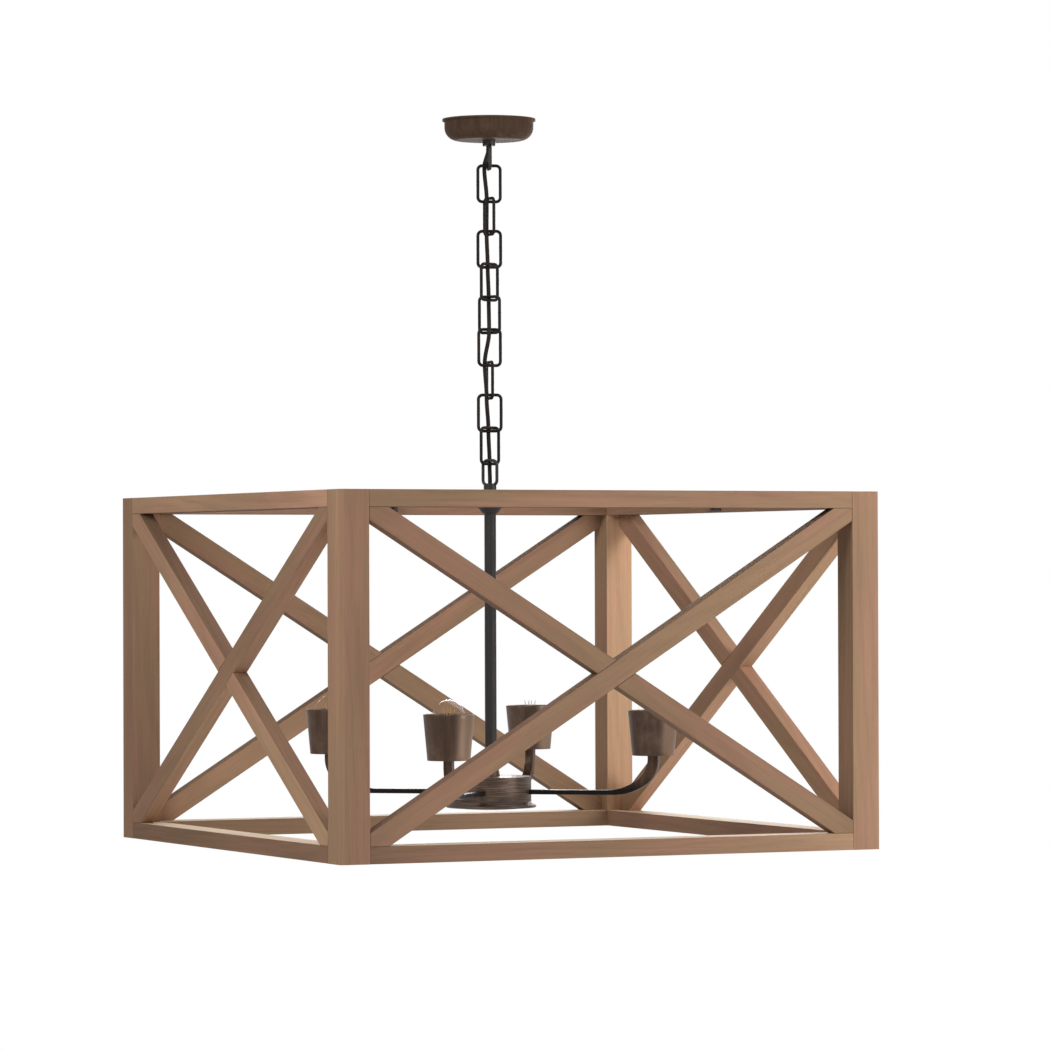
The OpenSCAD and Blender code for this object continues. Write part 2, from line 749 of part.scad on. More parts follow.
module hub_cover() {
    color(bronze) difference() {
        union() {
            translate([0, 0, base_z]) difference() {
                rotate_extrude() intersection() {
                    cover_outline(0, hub_d / 2);
                    translate([0, -over]) square([base_d, base_h + 2 * over]);
                }
                rotate_extrude() intersection() {
                    cover_outline(hub_wall, cover_mouth_r + hub_wall);
                    translate([0, -over]) square([base_d, base_h + 2 * over]);
                }
                translate([0, 0, base_h / 2]) cylinder(h = base_h, r = cover_mouth_r);
            }
            translate([0, 0, base_z + lip_z])
                rotate_extrude() translate([base_d / 2 - base_lip_r, 0]) circle(base_lip_r);
            intersection() {
                lugs(lug_d, base_z - over, drum_base_z, 0);
                translate([0, 0, base_z]) rotate_extrude() intersection() {
                    cover_outline(0, hub_d / 2);
                    translate([0, -over]) square([base_d, base_h + 2 * over]);
                }
            }
        }
        lugs(cover_screw_d, base_z - over, drum_base_z + over, fit);
        lugs(cover_head_d, base_z - over, cover_head_z + cover_head_h + fit, fit);
    }
}

module hub_fixings() {
    nut_z = hub_top_z - hub_wall - nut_h;
    color(zinc) {
        difference() {
            translate([0, 0, nut_z]) cylinder(h = nut_h, d = nut_d, $fn = 6);
            translate([0, 0, nut_z - over]) cylinder(h = nut_h + 2 * over, d = stem_d + 2 * fit);
        }
        lugs(cover_screw_d, cover_head_z + fit, cover_head_z + cover_screw_l, 0);
        lugs(cover_head_d, cover_head_z + fit, cover_head_z + fit + cover_head_h, 0);
    }
}

// A flat lead from the splice to the holder of the front right arm
module lead_outline() {
    half = lead_t / 2;
    top = cup_z + spigot_l;
    difference() {
        bend_inside(splice_d / 2 - over, arm_reach + half, arm_z - half,
            arm_wide_r + half, lead_bend_r + half, top);
        bend_inside(splice_d / 2 - 2 * over, arm_reach - half, arm_z + half,
            arm_wide_r - half, lead_bend_r - half, top + over);
    }
}

module lamp_leads() {
    color(cord_black) for (k = [0:3]) on_arm(k)
        translate([0, lead_w / 2, 0]) rotate([90, 0, 0]) linear_extrude(lead_w) lead_outline();
    color(ceramic) translate([0, 0, splice_z]) cylinder(h = splice_h, d = splice_d);
}

ceiling_bracket();
terminal_block();
canopy();
canopy_loop();
link(1);  // link_1
link(2);  // link_2
link(3);  // link_3
link(4);  // link_4
link(5);  // link_5
link(6);  // link_6
link(7);  // link_7
link(8);  // link_8
link(9);  // link_9
lamp_cord();
hanging_eye();
hanger_cross();
cross_screws();
stem_boss();
stem();
hub_body();
hub_cover();
hub_fixings();
lamp_leads();
arm(0);  // arm_front_right
arm(1);  // arm_back_right
arm(2);  // arm_back_left
arm(3);  // arm_front_left
cup(0);  // cup_front_right
cup(1);  // cup_back_right
cup(2);  // cup_back_left
cup(3);  // cup_front_left
holder(0);  // holder_front_right
holder(1);  // holder_back_right
holder(2);  // holder_back_left
holder(3);  // holder_front_left
bulb(0);  // bulb_front_right
bulb(1);  // bulb_back_right
bulb(2);  // bulb_back_left
bulb(3);  // bulb_front_left
post(0);  // post_front_left
post(1);  // post_front_right
post(2);  // post_back_right
post(3);  // post_back_left
rail(0, cage_top_z - rail_h);  // top_rail_front
rail(1, cage_top_z - rail_h);  // top_rail_right
rail(2, cage_top_z - rail_h);  // top_rail_back
rail(3, cage_top_z - rail_h);  // top_rail_left
rail(0, cage_base_z);  // bottom_rail_front
rail(1, cage_base_z);  // bottom_rail_right
rail(2, cage_base_z);  // bottom_rail_back
rail(3, cage_base_z);  // bottom_rail_left
brace(0, 1);  // brace_front_rising
brace(0, -1);  // brace_front_falling
brace(1, 1);  // brace_right_rising
brace(1, -1);  // brace_right_falling
brace(2, 1);  // brace_back_rising
brace(2, -1);  // brace_back_falling
brace(3, 1);  // brace_left_rising
brace(3, -1);  // brace_left_falling
frame_dowels();
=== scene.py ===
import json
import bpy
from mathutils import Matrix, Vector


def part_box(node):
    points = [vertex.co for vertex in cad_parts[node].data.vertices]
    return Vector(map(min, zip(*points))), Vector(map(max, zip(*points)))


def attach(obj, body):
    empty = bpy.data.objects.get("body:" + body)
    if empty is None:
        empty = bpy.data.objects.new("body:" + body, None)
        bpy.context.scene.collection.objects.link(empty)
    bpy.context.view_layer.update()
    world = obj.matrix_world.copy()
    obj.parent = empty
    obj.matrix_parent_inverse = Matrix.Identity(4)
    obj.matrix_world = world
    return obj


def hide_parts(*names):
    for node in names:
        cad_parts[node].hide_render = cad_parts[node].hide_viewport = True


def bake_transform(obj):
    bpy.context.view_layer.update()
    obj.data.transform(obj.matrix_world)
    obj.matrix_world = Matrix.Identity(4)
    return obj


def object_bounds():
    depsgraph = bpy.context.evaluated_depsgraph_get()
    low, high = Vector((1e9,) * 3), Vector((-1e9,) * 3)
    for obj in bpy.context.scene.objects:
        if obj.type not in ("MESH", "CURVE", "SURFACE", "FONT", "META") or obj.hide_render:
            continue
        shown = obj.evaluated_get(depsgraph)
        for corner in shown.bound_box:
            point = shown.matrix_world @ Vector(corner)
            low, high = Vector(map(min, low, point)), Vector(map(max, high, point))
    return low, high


bl_info = {
    "name": "Wooden Cage Chandelier",
    "version": (1, 0, 0),
    "blender": (4, 5, 0),
    "location": "View3D > Sidebar > Chandelier",
    "description": "Dresses a square wooden cage light on a chain: boards, chain, cord, hub, cups and bulbs",
    "category": "Object",
}

from math import atan2, cos, degrees, exp, pi, radians, sin, tau

import bmesh
import bpy
from bpy.props import FloatProperty, FloatVectorProperty, IntProperty, PointerProperty
from bpy.types import Operator, Panel, PropertyGroup
from mathutils import Matrix, Vector, noise

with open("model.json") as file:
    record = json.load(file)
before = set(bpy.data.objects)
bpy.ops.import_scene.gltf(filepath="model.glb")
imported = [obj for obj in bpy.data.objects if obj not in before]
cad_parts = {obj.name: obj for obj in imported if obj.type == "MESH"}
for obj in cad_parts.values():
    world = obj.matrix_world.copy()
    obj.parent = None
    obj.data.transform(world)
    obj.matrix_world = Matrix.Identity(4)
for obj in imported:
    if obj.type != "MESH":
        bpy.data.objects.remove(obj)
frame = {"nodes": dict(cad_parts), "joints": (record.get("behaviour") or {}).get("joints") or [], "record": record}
CAD_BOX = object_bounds()
NODES = frame["nodes"]
JOINTS = {joint["name"]: joint for joint in frame["joints"]}
BODIES = frame["record"]["behaviour"]["bodies"]
BODY_OF = {node: body for body, nodes in BODIES.items() for node in nodes}

CORNERS = ("front_right", "back_right", "back_left", "front_left")
WALLS = ("front", "right", "back", "left")
BOARDS = 20
LINKS = 9

# Sizes that the frame is built from, in metres
LINK_WIRE = 0.0044
LINK_WIDTH = 0.0362
LINK_INNER = 0.0462
LINK_CORNER = 0.006
LOOP_WIRE = 0.0045
LOOP_INNER = 0.030
LINK_GAP = 0.0002
CORD_WIDTH = 0.0058
CORD_CLEAR = 0.0006
HALF_CAGE = 0.4

# The line of sight, in degrees from straight ahead of the front, and the lower eye's turn from it
SIGHT_TURN = -25.24
EYE_FROM_SIGHT = -30
EYE_TURN = radians(EYE_FROM_SIGHT + SIGHT_TURN)

# The camera: its place, its turn, pitch and roll in degrees, and its lens in pixels of the picture's width
CAMERA_PLACE = (-2.9294, -6.3293, -0.6428)
CAMERA_ANGLES = (25.238, -0.596, -0.186)
CAMERA_SENSOR = 36
LENS_PIXELS = 4969.78
PICTURE_PIXELS = 1050

# Each lamp's place and width in metres. Its power is a setting
LAMPS = {
    "key": ((-2.0, -1.0, 0.5), 1.2),
    "fill": ((1.95, -2.5, -0.4), 1.4),
    "top": ((0.6, 0.8, 2.6), 2.4),
    "back": ((1.7, 2.5, 0.0), 1.6),
}
LAMP_TARGET = Vector((0, 0, -0.75))
FLOOR_HALF = 14.0

# The side on which a painted sheen lightens the cups' finish
PAINTED_SHEEN_SIDE = (0.904, -0.427, 0)

# How dark the sawn edges of each kind of board are
EDGE_SHARES = {"post": 0.05, "top": 0.12, "bottom": 0.1, "brace": 0.95}

# Painted light and shade: how light each kind of board is painted on its faces towards X, Y and Z
PAINTED_FACE_LIGHT = {"post": (1, 1, 1), "top": (1, 1, 1), "bottom": (1, 1, 1), "brace": (1, 1, 0.5)}

# The same painted light and shade for each board that differs from its kind
BOARD_PAINTED_FACE_LIGHT = {
    "post_front_left": (1.3, 0.94, 1),
    "post_front_right": (0.97, 1.3, 1),
    "post_back_left": (1.08, 0.98, 1),
    "post_back_right": (1.22, 2, 1),
    "top_rail_left": (1.47, 1, 1),
    "top_rail_front": (1, 1.08, 1),
    "bottom_rail_left": (0.8, 1, 1),
    "bottom_rail_front": (1, 1.06, 1),
    "bottom_rail_back": (1, 1.04, 1),
    "bottom_rail_right": (0.9, 1, 1),
    "brace_front_falling": (1, 0.96, 0.5),
    "brace_back_falling": (1, 1.22, 0.5),
    "brace_back_rising": (1, 1.28, 0.5),
    "brace_left_falling": (1.55, 1, 0.7),
    "brace_left_rising": (1.05, 1, 1.3),
    "brace_right_falling": (1.1, 1, 1.7),
    "brace_right_rising": (1.15, 1, 1.7),
}

# Painted light: how much lighter some boards are painted, per metre along X, Y and Z
BOARD_PAINTED_LIGHT_SLOPES = {
    "bottom_rail_front": (0.9, 0, 0),
    "brace_front_falling": (0.25, 0, 0),
    "brace_front_rising": (0.25, 0, 0),
    "top_rail_front": (0.15, 0, 0),
}


def paint(code):
    """A colour written as six hex digits, as Blender's linear red, green and blue."""
    parts = [int(code[i:i + 2], 16) / 255 for i in (0, 2, 4)]
    return tuple(c / 12.92 if c <= 0.04045 else ((c + 0.055) / 1.055) ** 2.4 for c in parts)


def colour_property(name, description, code):
    """A colour setting. code is its default, written as six hex digits."""
    return FloatVectorProperty(name=name, description=description, subtype="COLOR", size=3, min=0, max=1,
        default=paint(code))


class BoardSettings(PropertyGroup):
    base: colour_property("Board", "Main colour of the weathered boards", "a38167")
    green: colour_property("Green cast", "Colour of the greyer stretches", "977b5f")
    red: colour_property("Red cast", "Colour of the warmer stretches", "a37a65")
    dark: colour_property("Grain", "Colour of the grain lines and pores", "624b3d")
    # This edge colour also paints shade on the top rails' undersides
    edge: colour_property("Edge", "Colour along the sawn edges", "3c2a20")
    # A painted highlight on the posts' rounded outer edges
    painted_arris_highlight: colour_property("Rubbed edge", "Colour of the posts' rounded outer edges", "b08c70")
    # A painted highlight on the bottom rails' upper faces, where light from above falls
    painted_top_highlight: colour_property("Faded top", "Colour of the bottom rails' upper faces", "ecd6bb")
    grain_depth: FloatProperty(name="Grain depth", description="Depth of the grain's relief",
        default=0.00014, unit="LENGTH")


class MetalSettings(PropertyGroup):
    black: colour_property("Black", "Colour of the stem, the hanger and the end loops", "353333")
    black_worn: colour_property("Worn black", "Colour where the black finish is rubbed", "423e3c")
    iron: colour_property("Iron", "Colour of the arms and the chain", "130c0a")
    iron_worn: colour_property("Worn iron", "Colour where the iron is rubbed", "5c4f48")
    bronze: colour_property("Bronze", "Colour of the cups, the canopy and the arms' horns", "4e3b2f")
    # The streak colour is also the cups' painted sheen
    bronze_streak_and_sheen: colour_property("Bronze streak", "Colour of the lighter streaks in the bronze", "9a7f69")
    hub: colour_property("Hub", "Colour of the hub, under its brushed lines", "44342b")
    screws: colour_property("Screws", "Colour of the hanger's blackened screws", "3b3a3a")
    zinc: colour_property("Zinc", "Colour of the plated fixings", "a3a4a3")
    cap: colour_property("Bulb cap", "Colour of the bulbs' screw caps", "b9b4a8")


class CordSettings(PropertyGroup):
    sleeve: colour_property("Sleeve", "Colour of the lamp cord's woven sleeve", "1b1412")
    thread: colour_property("Thread", "Colour of the sleeve's raised threads", "352a26")
    strands: IntProperty(name="Strands", description="Threads around the cord", default=12, min=6)


class BulbSettings(PropertyGroup):
    thread_pitch: FloatProperty(name="Thread pitch", description="Pitch of the screw cap",
        default=0.0036, unit="LENGTH")
    filament: colour_property("Filament", "Colour of the unlit filament", "d9a548")
    holder: colour_property("Holder", "Colour of the porcelain holders", "d8d2c4")


class StageSettings(PropertyGroup):
    floor: colour_property("Floor", "Colour of the floor", "f4f4f4")
    drop: FloatProperty(name="Floor drop", description="Distance from the cage to the floor",
        default=0.55, unit="LENGTH")
    pool: FloatProperty(name="Shadow pool", description="How far out the floor shows the shadow",
        default=1.0, unit="LENGTH")
    key: FloatProperty(name="Key light", description="Power of the lamp at the left",
        default=28.5, unit="POWER")
    fill: FloatProperty(name="Fill light", description="Power of the lamp at the right",
        default=55.5, unit="POWER")
    top: FloatProperty(name="Top light", description="Power of the lamp above", default=48.0, unit="POWER")
    back: FloatProperty(name="Back light", description="Power of the lamp behind", default=60.0, unit="POWER")
    ambient: FloatProperty(name="Ambient", description="Strength of the light from all sides", default=0.04)


class Wiring:
    """Adds nodes to a tree and joins them in one call."""

    def __init__(self, tree):
        self.tree = tree
        self.column = 0

    def feed(self, end, value):
        """Joins an output to a socket, or sets the socket's own value."""
        if isinstance(value, bpy.types.Node):
            value = value.outputs[0]
        if isinstance(value, bpy.types.NodeSocket):
            self.tree.links.new(value, end)
        elif end.type == "RGBA":
            end.default_value = (*value[:3], 1)
        else:
            end.default_value = value

    def put(self, node, name, value):
        """Feeds the input of this name. n0, n1 and so on are the inputs by their number."""
        numbered = name[0] == "n" and name[1:].isdigit()
        self.feed(node.inputs[int(name[1:]) if numbered else name], value)

    def add(self, kind, settings=None, **inputs):
        """A new node. An underscore in an input's name stands for a space."""
        node = self.tree.nodes.new(f"ShaderNode{kind}")
        node.location = (self.column * 180, 0)
        self.column += 1
        for name, value in (settings or {}).items():
            setattr(node, name, value)
        for name, value in inputs.items():
            self.put(node, name.replace("_", " "), value)
        return node

    def in_order(self, kind, settings, values):
        """A new node whose first inputs are fed in their order."""
        node = self.add(kind, settings)
        for end, value in zip(node.inputs, values):
            self.feed(end, value)
        return node

    def maths(self, operation, a, b=0.0, clamp=False):
        return self.in_order("Math", {"operation": operation, "use_clamp": clamp}, (a, b)).outputs[0]

    def vector(self, operation, a, b=(0, 0, 0)):
        node = self.in_order("VectorMath", {"operation": operation}, (a, b))
        return node.outputs[1] if operation in ("DOT_PRODUCT", "LENGTH") else node.outputs[0]

    def mix(self, share, a, b):
        """A colour that is a where share is 0 and b where it is 1."""
        return self.add("Mix", {"data_type": "RGBA"}, n0=share, n6=a, n7=b).outputs[2]

    def noise(self, place, scale, detail=3.0, rough=0.55):
        return self.add("TexNoise", Vector=place, Scale=scale, Detail=detail, Roughness=rough).outputs[0]

    def spread(self, value, low, high, to_low=0.0, to_high=1.0):
        """Eases a value between low and high into one between to_low and to_high."""
        return self.in_order("MapRange", {"interpolation_type": "SMOOTHSTEP"},
            (value, low, high, to_low, to_high)).outputs[0]


def group_tree(name, inputs, outputs):
    """(wiring, inputs, outputs) of a new shader group."""
    tree = bpy.data.node_groups.new(name, "ShaderNodeTree")
    for kind, label, value in inputs:
        made = tree.interface.new_socket(label, in_out="INPUT", socket_type=f"NodeSocket{kind}")
        made.default_value = value
    for kind, label in outputs:
        tree.interface.new_socket(label, in_out="OUTPUT", socket_type=f"NodeSocket{kind}")
    start = tree.nodes.new("NodeGroupInput")
    end = tree.nodes.new("NodeGroupOutput")
    start.location = (-300, 0)
    end.location = (3000, 0)
    return Wiring(tree), start.outputs, end.inputs


def board_axes_group():
    """Turns a place in the room into one along, across and out of a board, moved on by the board's seed."""
    w, given, out = group_tree("Board axes",
        [("Vector", "Point", (0, 0, 0)), ("Vector", "Along", (1, 0, 0)), ("Vector", "Across", (0, 0, 1)),
            ("Vector", "Out", (0, 1, 0)), ("Float", "Seed", 0.0)],
        [("Vector", "Place")])
    shift = w.add("CombineXYZ", X=w.maths("MULTIPLY", given["Seed"], 1.37),
        Y=w.maths("MULTIPLY", given["Seed"], 0.071), Z=w.maths("MULTIPLY", given["Seed"], 0.113))
    turned = w.add("CombineXYZ", X=w.vector("DOT_PRODUCT", given["Point"], given["Along"]),
        Y=w.vector("DOT_PRODUCT", given["Point"], given["Across"]),
        Z=w.vector("DOT_PRODUCT", given["Point"], given["Out"]))
    w.feed(out["Place"], w.vector("ADD", turned, shift))
    return w.tree


def board_grain_group():
    """Weathered timber: growth rings, fibres, open pores and slow changes of tone, all scaled by the painted light
    and shade fed in as Tone.
    """
    brown = (0.3, 0.2, 0.1, 1)
    w, given, out = group_tree("Board grain",
        [("Vector", "Place", (0, 0, 0)), ("Color", "Base", brown), ("Color", "Green cast", brown),
            ("Color", "Red cast", brown), ("Color", "Grain", (0.1, 0.06, 0.03, 1)),
            ("Float", "Warmth", 0.5), ("Float", "Tone", 1.0)],
        [("Color", "Color"), ("Float", "Roughness"), ("Float", "Height")])
    place = given["Place"]

    def drawn_out(fineness, detail, rough=0.55):
        """A noise, by how fine it is along, across and out of the board."""
        return w.noise(w.vector("MULTIPLY", place, fineness), 1.0, detail, rough)

    slow = drawn_out((4.2, 26, 26), 2.0)
    bend = drawn_out((2.6, 16, 16), 2.0)
    broad = drawn_out((2.4, 9, 9), 1.0)
    coarse = drawn_out((3.2, 90, 90), 3.0, 0.6)
    fibre = drawn_out((7, 420, 420), 5.0, 0.65)
    pores = w.spread(drawn_out((38, 1250, 1250), 2.0), 0.60, 0.74)
    from_heart = w.vector("LENGTH", w.vector("MULTIPLY", place, (0.06, 1, 1)))
    ring_place = w.maths("ADD", from_heart, w.maths("MULTIPLY", bend, 0.03))
    ring = w.spread(w.maths("SINE", w.maths("MULTIPLY", ring_place, 820)), -0.2, 1.0)
    cast = w.spread(w.maths("ADD", slow, w.maths("MULTIPLY", given["Warmth"], 0.12)), 0.44, 0.70)
    tone = w.mix(cast, given["Green cast"], given["Red cast"])
    tone = w.mix(0.4, tone, given["Base"])
    tone = w.mix(w.spread(fibre, 0.40, 0.75, 0.0, 0.17), tone, given["Grain"])
    tone = w.mix(w.maths("MULTIPLY", ring, 0.09), tone, given["Grain"])
    tone = w.mix(w.spread(coarse, 0.52, 0.80, 0.0, 0.13), tone, given["Grain"])
    tone = w.mix(w.maths("MULTIPLY", pores, 0.3), tone, given["Grain"])
    lift = w.maths("MULTIPLY", w.spread(coarse, 0.2, 0.5, 1.08, 1.0), w.spread(broad, 0.3, 0.7, 0.9, 1.1))
    # Tone is painted light and shade, set by face direction and position
    lift = w.maths("MULTIPLY", lift, given["Tone"])
    w.feed(out["Color"], w.add("VectorMath", {"operation": "SCALE"}, n0=tone, Scale=lift))
    w.feed(out["Roughness"], w.spread(fibre, 0.3, 0.7, 0.66, 0.82))
    height = w.maths("SUBTRACT", w.maths("MULTIPLY", fibre, 0.6), w.maths("MULTIPLY", pores, 0.5))
    w.feed(out["Height"], w.maths("ADD", height, w.maths("MULTIPLY", coarse, 0.5)))
    return w.tree


def painted_face_light_group():
    """A board's painted light and shade: one level for each of its faces towards X, Y and Z, growing along Slope,
    and masks of its upper and lower faces."""
    w, given, out = group_tree("Face tone",
        [("Vector", "Point", (0, 0, 0)), ("Vector", "Normal", (0, 0, 1)), ("Vector", "Tones", (1, 1, 1)),
            ("Vector", "Slope", (0, 0, 0))],
        [("Float", "Tone"), ("Float", "Upper"), ("Float", "Lower")])
    share = w.vector("MULTIPLY", given["Normal"], given["Normal"])
    growth = w.maths("ADD", w.vector("DOT_PRODUCT", given["Point"], given["Slope"]), 1.0)
    w.feed(out["Tone"], w.maths("MULTIPLY", w.vector("DOT_PRODUCT", share, given["Tones"]), growth))
    level = w.add("SeparateXYZ", Vector=given["Normal"]).outputs["Z"]
    w.feed(out["Upper"], w.spread(level, 0.8, 0.95))
    w.feed(out["Lower"], w.spread(w.maths("MULTIPLY", level, -1.0), 0.8, 0.95))
    return w.tree


def worn_edge_group():
    """A mask that is 1 along edges and broken up by a fine noise."""
    w, given, out = group_tree("Worn edge",
        [("Vector", "Place", (0, 0, 0)), ("Float", "Reach", 0.002), ("Float", "Break up", 0.5),
            ("Float", "Scale", 120.0)],
        [("Float", "Mask")])
    soft = w.add("Bevel", {"samples": 6}, Radius=given["Reach"])
    flat = w.add("NewGeometry").outputs["Normal"]
    edge = w.spread(w.maths("SUBTRACT", 1.0, w.vector("DOT_PRODUCT", soft, flat)), 0.02, 0.22)
    speck = w.noise(given["Place"], given["Scale"], 4.0, 0.65)
    broken = w.maths("MULTIPLY", w.maths("SUBTRACT", speck, 0.35),
        w.maths("MULTIPLY", given["Break up"], 2.4))
    w.feed(out["Mask"], w.maths("SUBTRACT", edge, broken, clamp=True))
    return w.tree


def antique_group():
    """A brushed-on metal finish: streaks one way, cloudy patches and tiny pits."""
    w, given, out = group_tree("Antique finish",
        [("Vector", "Place", (0, 0, 0)), ("Color", "Base", (0.1, 0.08, 0.06, 1)),
            ("Color", "Streak", (0.3, 0.2, 0.15, 1)), ("Vector", "Streak scale", (260, 260, 14)),
            ("Float", "Streaks", 0.5), ("Float", "Clouds", 0.4), ("Float", "Gloss", 0.35),
            ("Float", "Matt", 0.5)],
        [("Color", "Color"), ("Float", "Roughness"), ("Float", "Height")])
    place = given["Place"]
    streak = w.noise(w.vector("MULTIPLY", place, given["Streak scale"]), 1.0, 4.0, 0.6)
    cloud = w.noise(place, 26.0, 4.0, 0.6)
    pit = w.noise(place, 950.0, 2.0, 0.5)
    share = w.maths("ADD", w.maths("MULTIPLY", w.spread(streak, 0.42, 0.78), given["Streaks"]),
        w.maths("MULTIPLY", w.spread(cloud, 0.45, 0.75), given["Clouds"]), clamp=True)
    w.feed(out["Color"], w.mix(share, given["Base"], given["Streak"]))
    w.feed(out["Roughness"], w.add("Mix", {"data_type": "FLOAT"}, n0=w.spread(cloud, 0.3, 0.7),
        n2=given["Gloss"], n3=given["Matt"]))
    w.feed(out["Height"], w.maths("ADD", w.maths("MULTIPLY", pit, 0.5), w.maths("MULTIPLY", streak, 0.5)))
    return w.tree


GROUPS = {
    "Board axes": board_axes_group,
    "Board grain": board_grain_group,
    "Face tone": painted_face_light_group,
    "Worn edge": worn_edge_group,
    "Antique finish": antique_group,
}


def place_group(w, name, **inputs):
    """A group's node in a material. The group is built the first time that it is asked for."""
    tree = bpy.data.node_groups.get(name) or GROUPS[name]()
    return w.add("Group", {"node_tree": tree}, **inputs)


def empty_wiring(owner):
    """The wiring of a material's or a world's tree, with its nodes cleared away."""
    owner.use_nodes = True
    owner.node_tree.nodes.clear()
    return Wiring(owner.node_tree)


def new_material(name):
    """(material, its wiring, its surface shader)"""
    material = bpy.data.materials.new(name)
    w = empty_wiring(material)
    shader = w.add("BsdfPrincipled")
    w.add("OutputMaterial", Surface=shader)
    return material, w, shader


def relief(w, shader, height, depth, strength=1.0):
    """Raises the surface where height is 1, by depth in metres."""
    w.put(shader, "Normal", w.add("Bump", Strength=strength, Distance=depth, Height=height))


def object_place(w):
    """A material's place on its piece, in metres."""
    return w.add("TexCoord").outputs["Object"]


def wear(node, material):
    """Gives a CAD node one material in all its slots."""
    mesh = NODES[node].data
    if not mesh.materials:
        mesh.materials.append(material)
    for slot in range(len(mesh.materials)):
        mesh.materials[slot] = material


def round_edges(node, width, segments=2):
    """A fine rounding of a CAD node's sharp edges, for the light to catch."""
    weld = NODES[node].modifiers.new("Weld", "WELD")
    weld.merge_threshold = 0.00001
    bevel = NODES[node].modifiers.new("Rounded edges", "BEVEL")
    bevel.width = width
    bevel.segments = segments
    bevel.limit_method = "ANGLE"
    bevel.angle_limit = radians(35)
    bevel.harden_normals = False
    bevel.miter_outer = "MITER_ARC"


def board_directions(node):
    """(along, across, out) of a board, as unit vectors in the room."""
    if node.startswith("post"):
        return (0, 0, 1), (1, 0, 0), (0, 1, 0)
    brace = node.startswith("brace")
    wall = WALLS.index(node.split("_")[1 if brace else 2])
    turn = Matrix.Rotation(radians(90) * wall, 3, "Z")
    tilt = 0.0
    if brace:
        low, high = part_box(node)
        tilt = atan2(high.z - low.z, max(high.x - low.x, high.y - low.y))
    if node.endswith("falling"):
        tilt = -tilt
    along = Vector((cos(tilt), 0, sin(tilt)))
    across = Vector((-sin(tilt), 0, cos(tilt)))
    return tuple(turn @ along), tuple(turn @ across), tuple(turn @ Vector((0, 1, 0)))


def board_material(node, number, s):
    """One board's timber, drawn along its length, with its own stretch of grain, and with light and shade painted
    on by face direction.
    """
    material, w, shader = new_material(f"board_{node}")
    along, across, out = board_directions(node)
    kind = node.split("_")[0]
    place = w.add("TexCoord").outputs
    point = place["Object"]
    # Painted light and shade by face direction, with masks of the upper and lower faces
    face = place_group(w, "Face tone", Point=point, Normal=place["Normal"],
        Tones=BOARD_PAINTED_FACE_LIGHT.get(node, PAINTED_FACE_LIGHT[kind]), Slope=BOARD_PAINTED_LIGHT_SLOPES.get(node, (0, 0, 0)))
    axes = place_group(w, "Board axes", Point=point, Along=along, Across=across, Out=out,
        Seed=3.1 + 1.83 * number)
    grain = place_group(w, "Board grain", Place=axes, Base=s.base, Green_cast=s.green, Red_cast=s.red,
        Grain=s.dark, Warmth=(number * 0.618) % 1.0, Tone=face.outputs["Tone"])
    edge = place_group(w, "Worn edge", Place=point, Reach=0.0022, Break_up=0.45, Scale=90.0)
    tone = grain.outputs["Color"]
    # Painted highlight on the bottom rails' upper faces
    if kind == "bottom":
        tone = w.mix(w.maths("MULTIPLY", face.outputs["Upper"], 0.9), tone, s.painted_top_highlight)
    # Painted shade on the top rails' undersides, in the edge colour
    if kind == "top":
        tone = w.mix(w.maths("MULTIPLY", face.outputs["Lower"], 0.7), tone, s.edge)
    tone = w.mix(w.maths("MULTIPLY", edge.outputs["Mask"], EDGE_SHARES[kind]), tone, s.edge)
    # Painted highlight along the posts' rounded outer edges
    if kind == "post":
        tone = w.mix(painted_arris_mask(w, point), tone, s.painted_arris_highlight)
    w.put(shader, "Base Color", tone)
    w.put(shader, "Roughness", grain.outputs["Roughness"])
    shader.inputs["Specular IOR Level"].default_value = 0.12
    relief(w, shader, grain.outputs["Height"], s.grain_depth)
    return material


def painted_arris_mask(w, point):
    """A mask for a painted highlight on the posts' outermost edges, which lie farthest out along X and Y together.
    """
    parts = w.add("SeparateXYZ", Vector=point).outputs
    reach = w.maths("ADD", w.maths("ABSOLUTE", parts["X"]), w.maths("ABSOLUTE", parts["Y"]))
    return w.spread(reach, 2 * HALF_CAGE - 0.009, 2 * HALF_CAGE - 0.003, 0.0, 0.55)


def dowel_material():
    """Pale beech, with the same grain as the boards but not turned along them."""
    material, w, shader = new_material("dowel_beech")
    grain = place_group(w, "Board grain", Place=object_place(w), Base=paint("c9ab80"),
        Green_cast=paint("c2a67c"), Red_cast=paint("caa27c"), Grain=paint("92704a"), Warmth=0.5)
    w.put(shader, "Base Color", grain.outputs["Color"])
    w.put(shader, "Roughness", grain.outputs["Roughness"])
    return material


class CHANDELIER_OT_boards(Operator):
    """Grain and edges for every board of the cage, each along its own length"""

    bl_idname = "chandelier.boards"
    bl_label = "Dress the boards"

    def execute(self, context):
        s = context.scene.chandelier_boards
        boards = [n for n in sorted(NODES) if n.startswith(("post", "top_rail", "bottom_rail", "brace"))]
        if len(boards) != BOARDS:
            raise RuntimeError(f"the cage needs {BOARDS} boards")
        for number, node in enumerate(boards):
            wear(node, board_material(node, number, s))
        wear("frame_dowels", dowel_material())
        return {"FINISHED"}


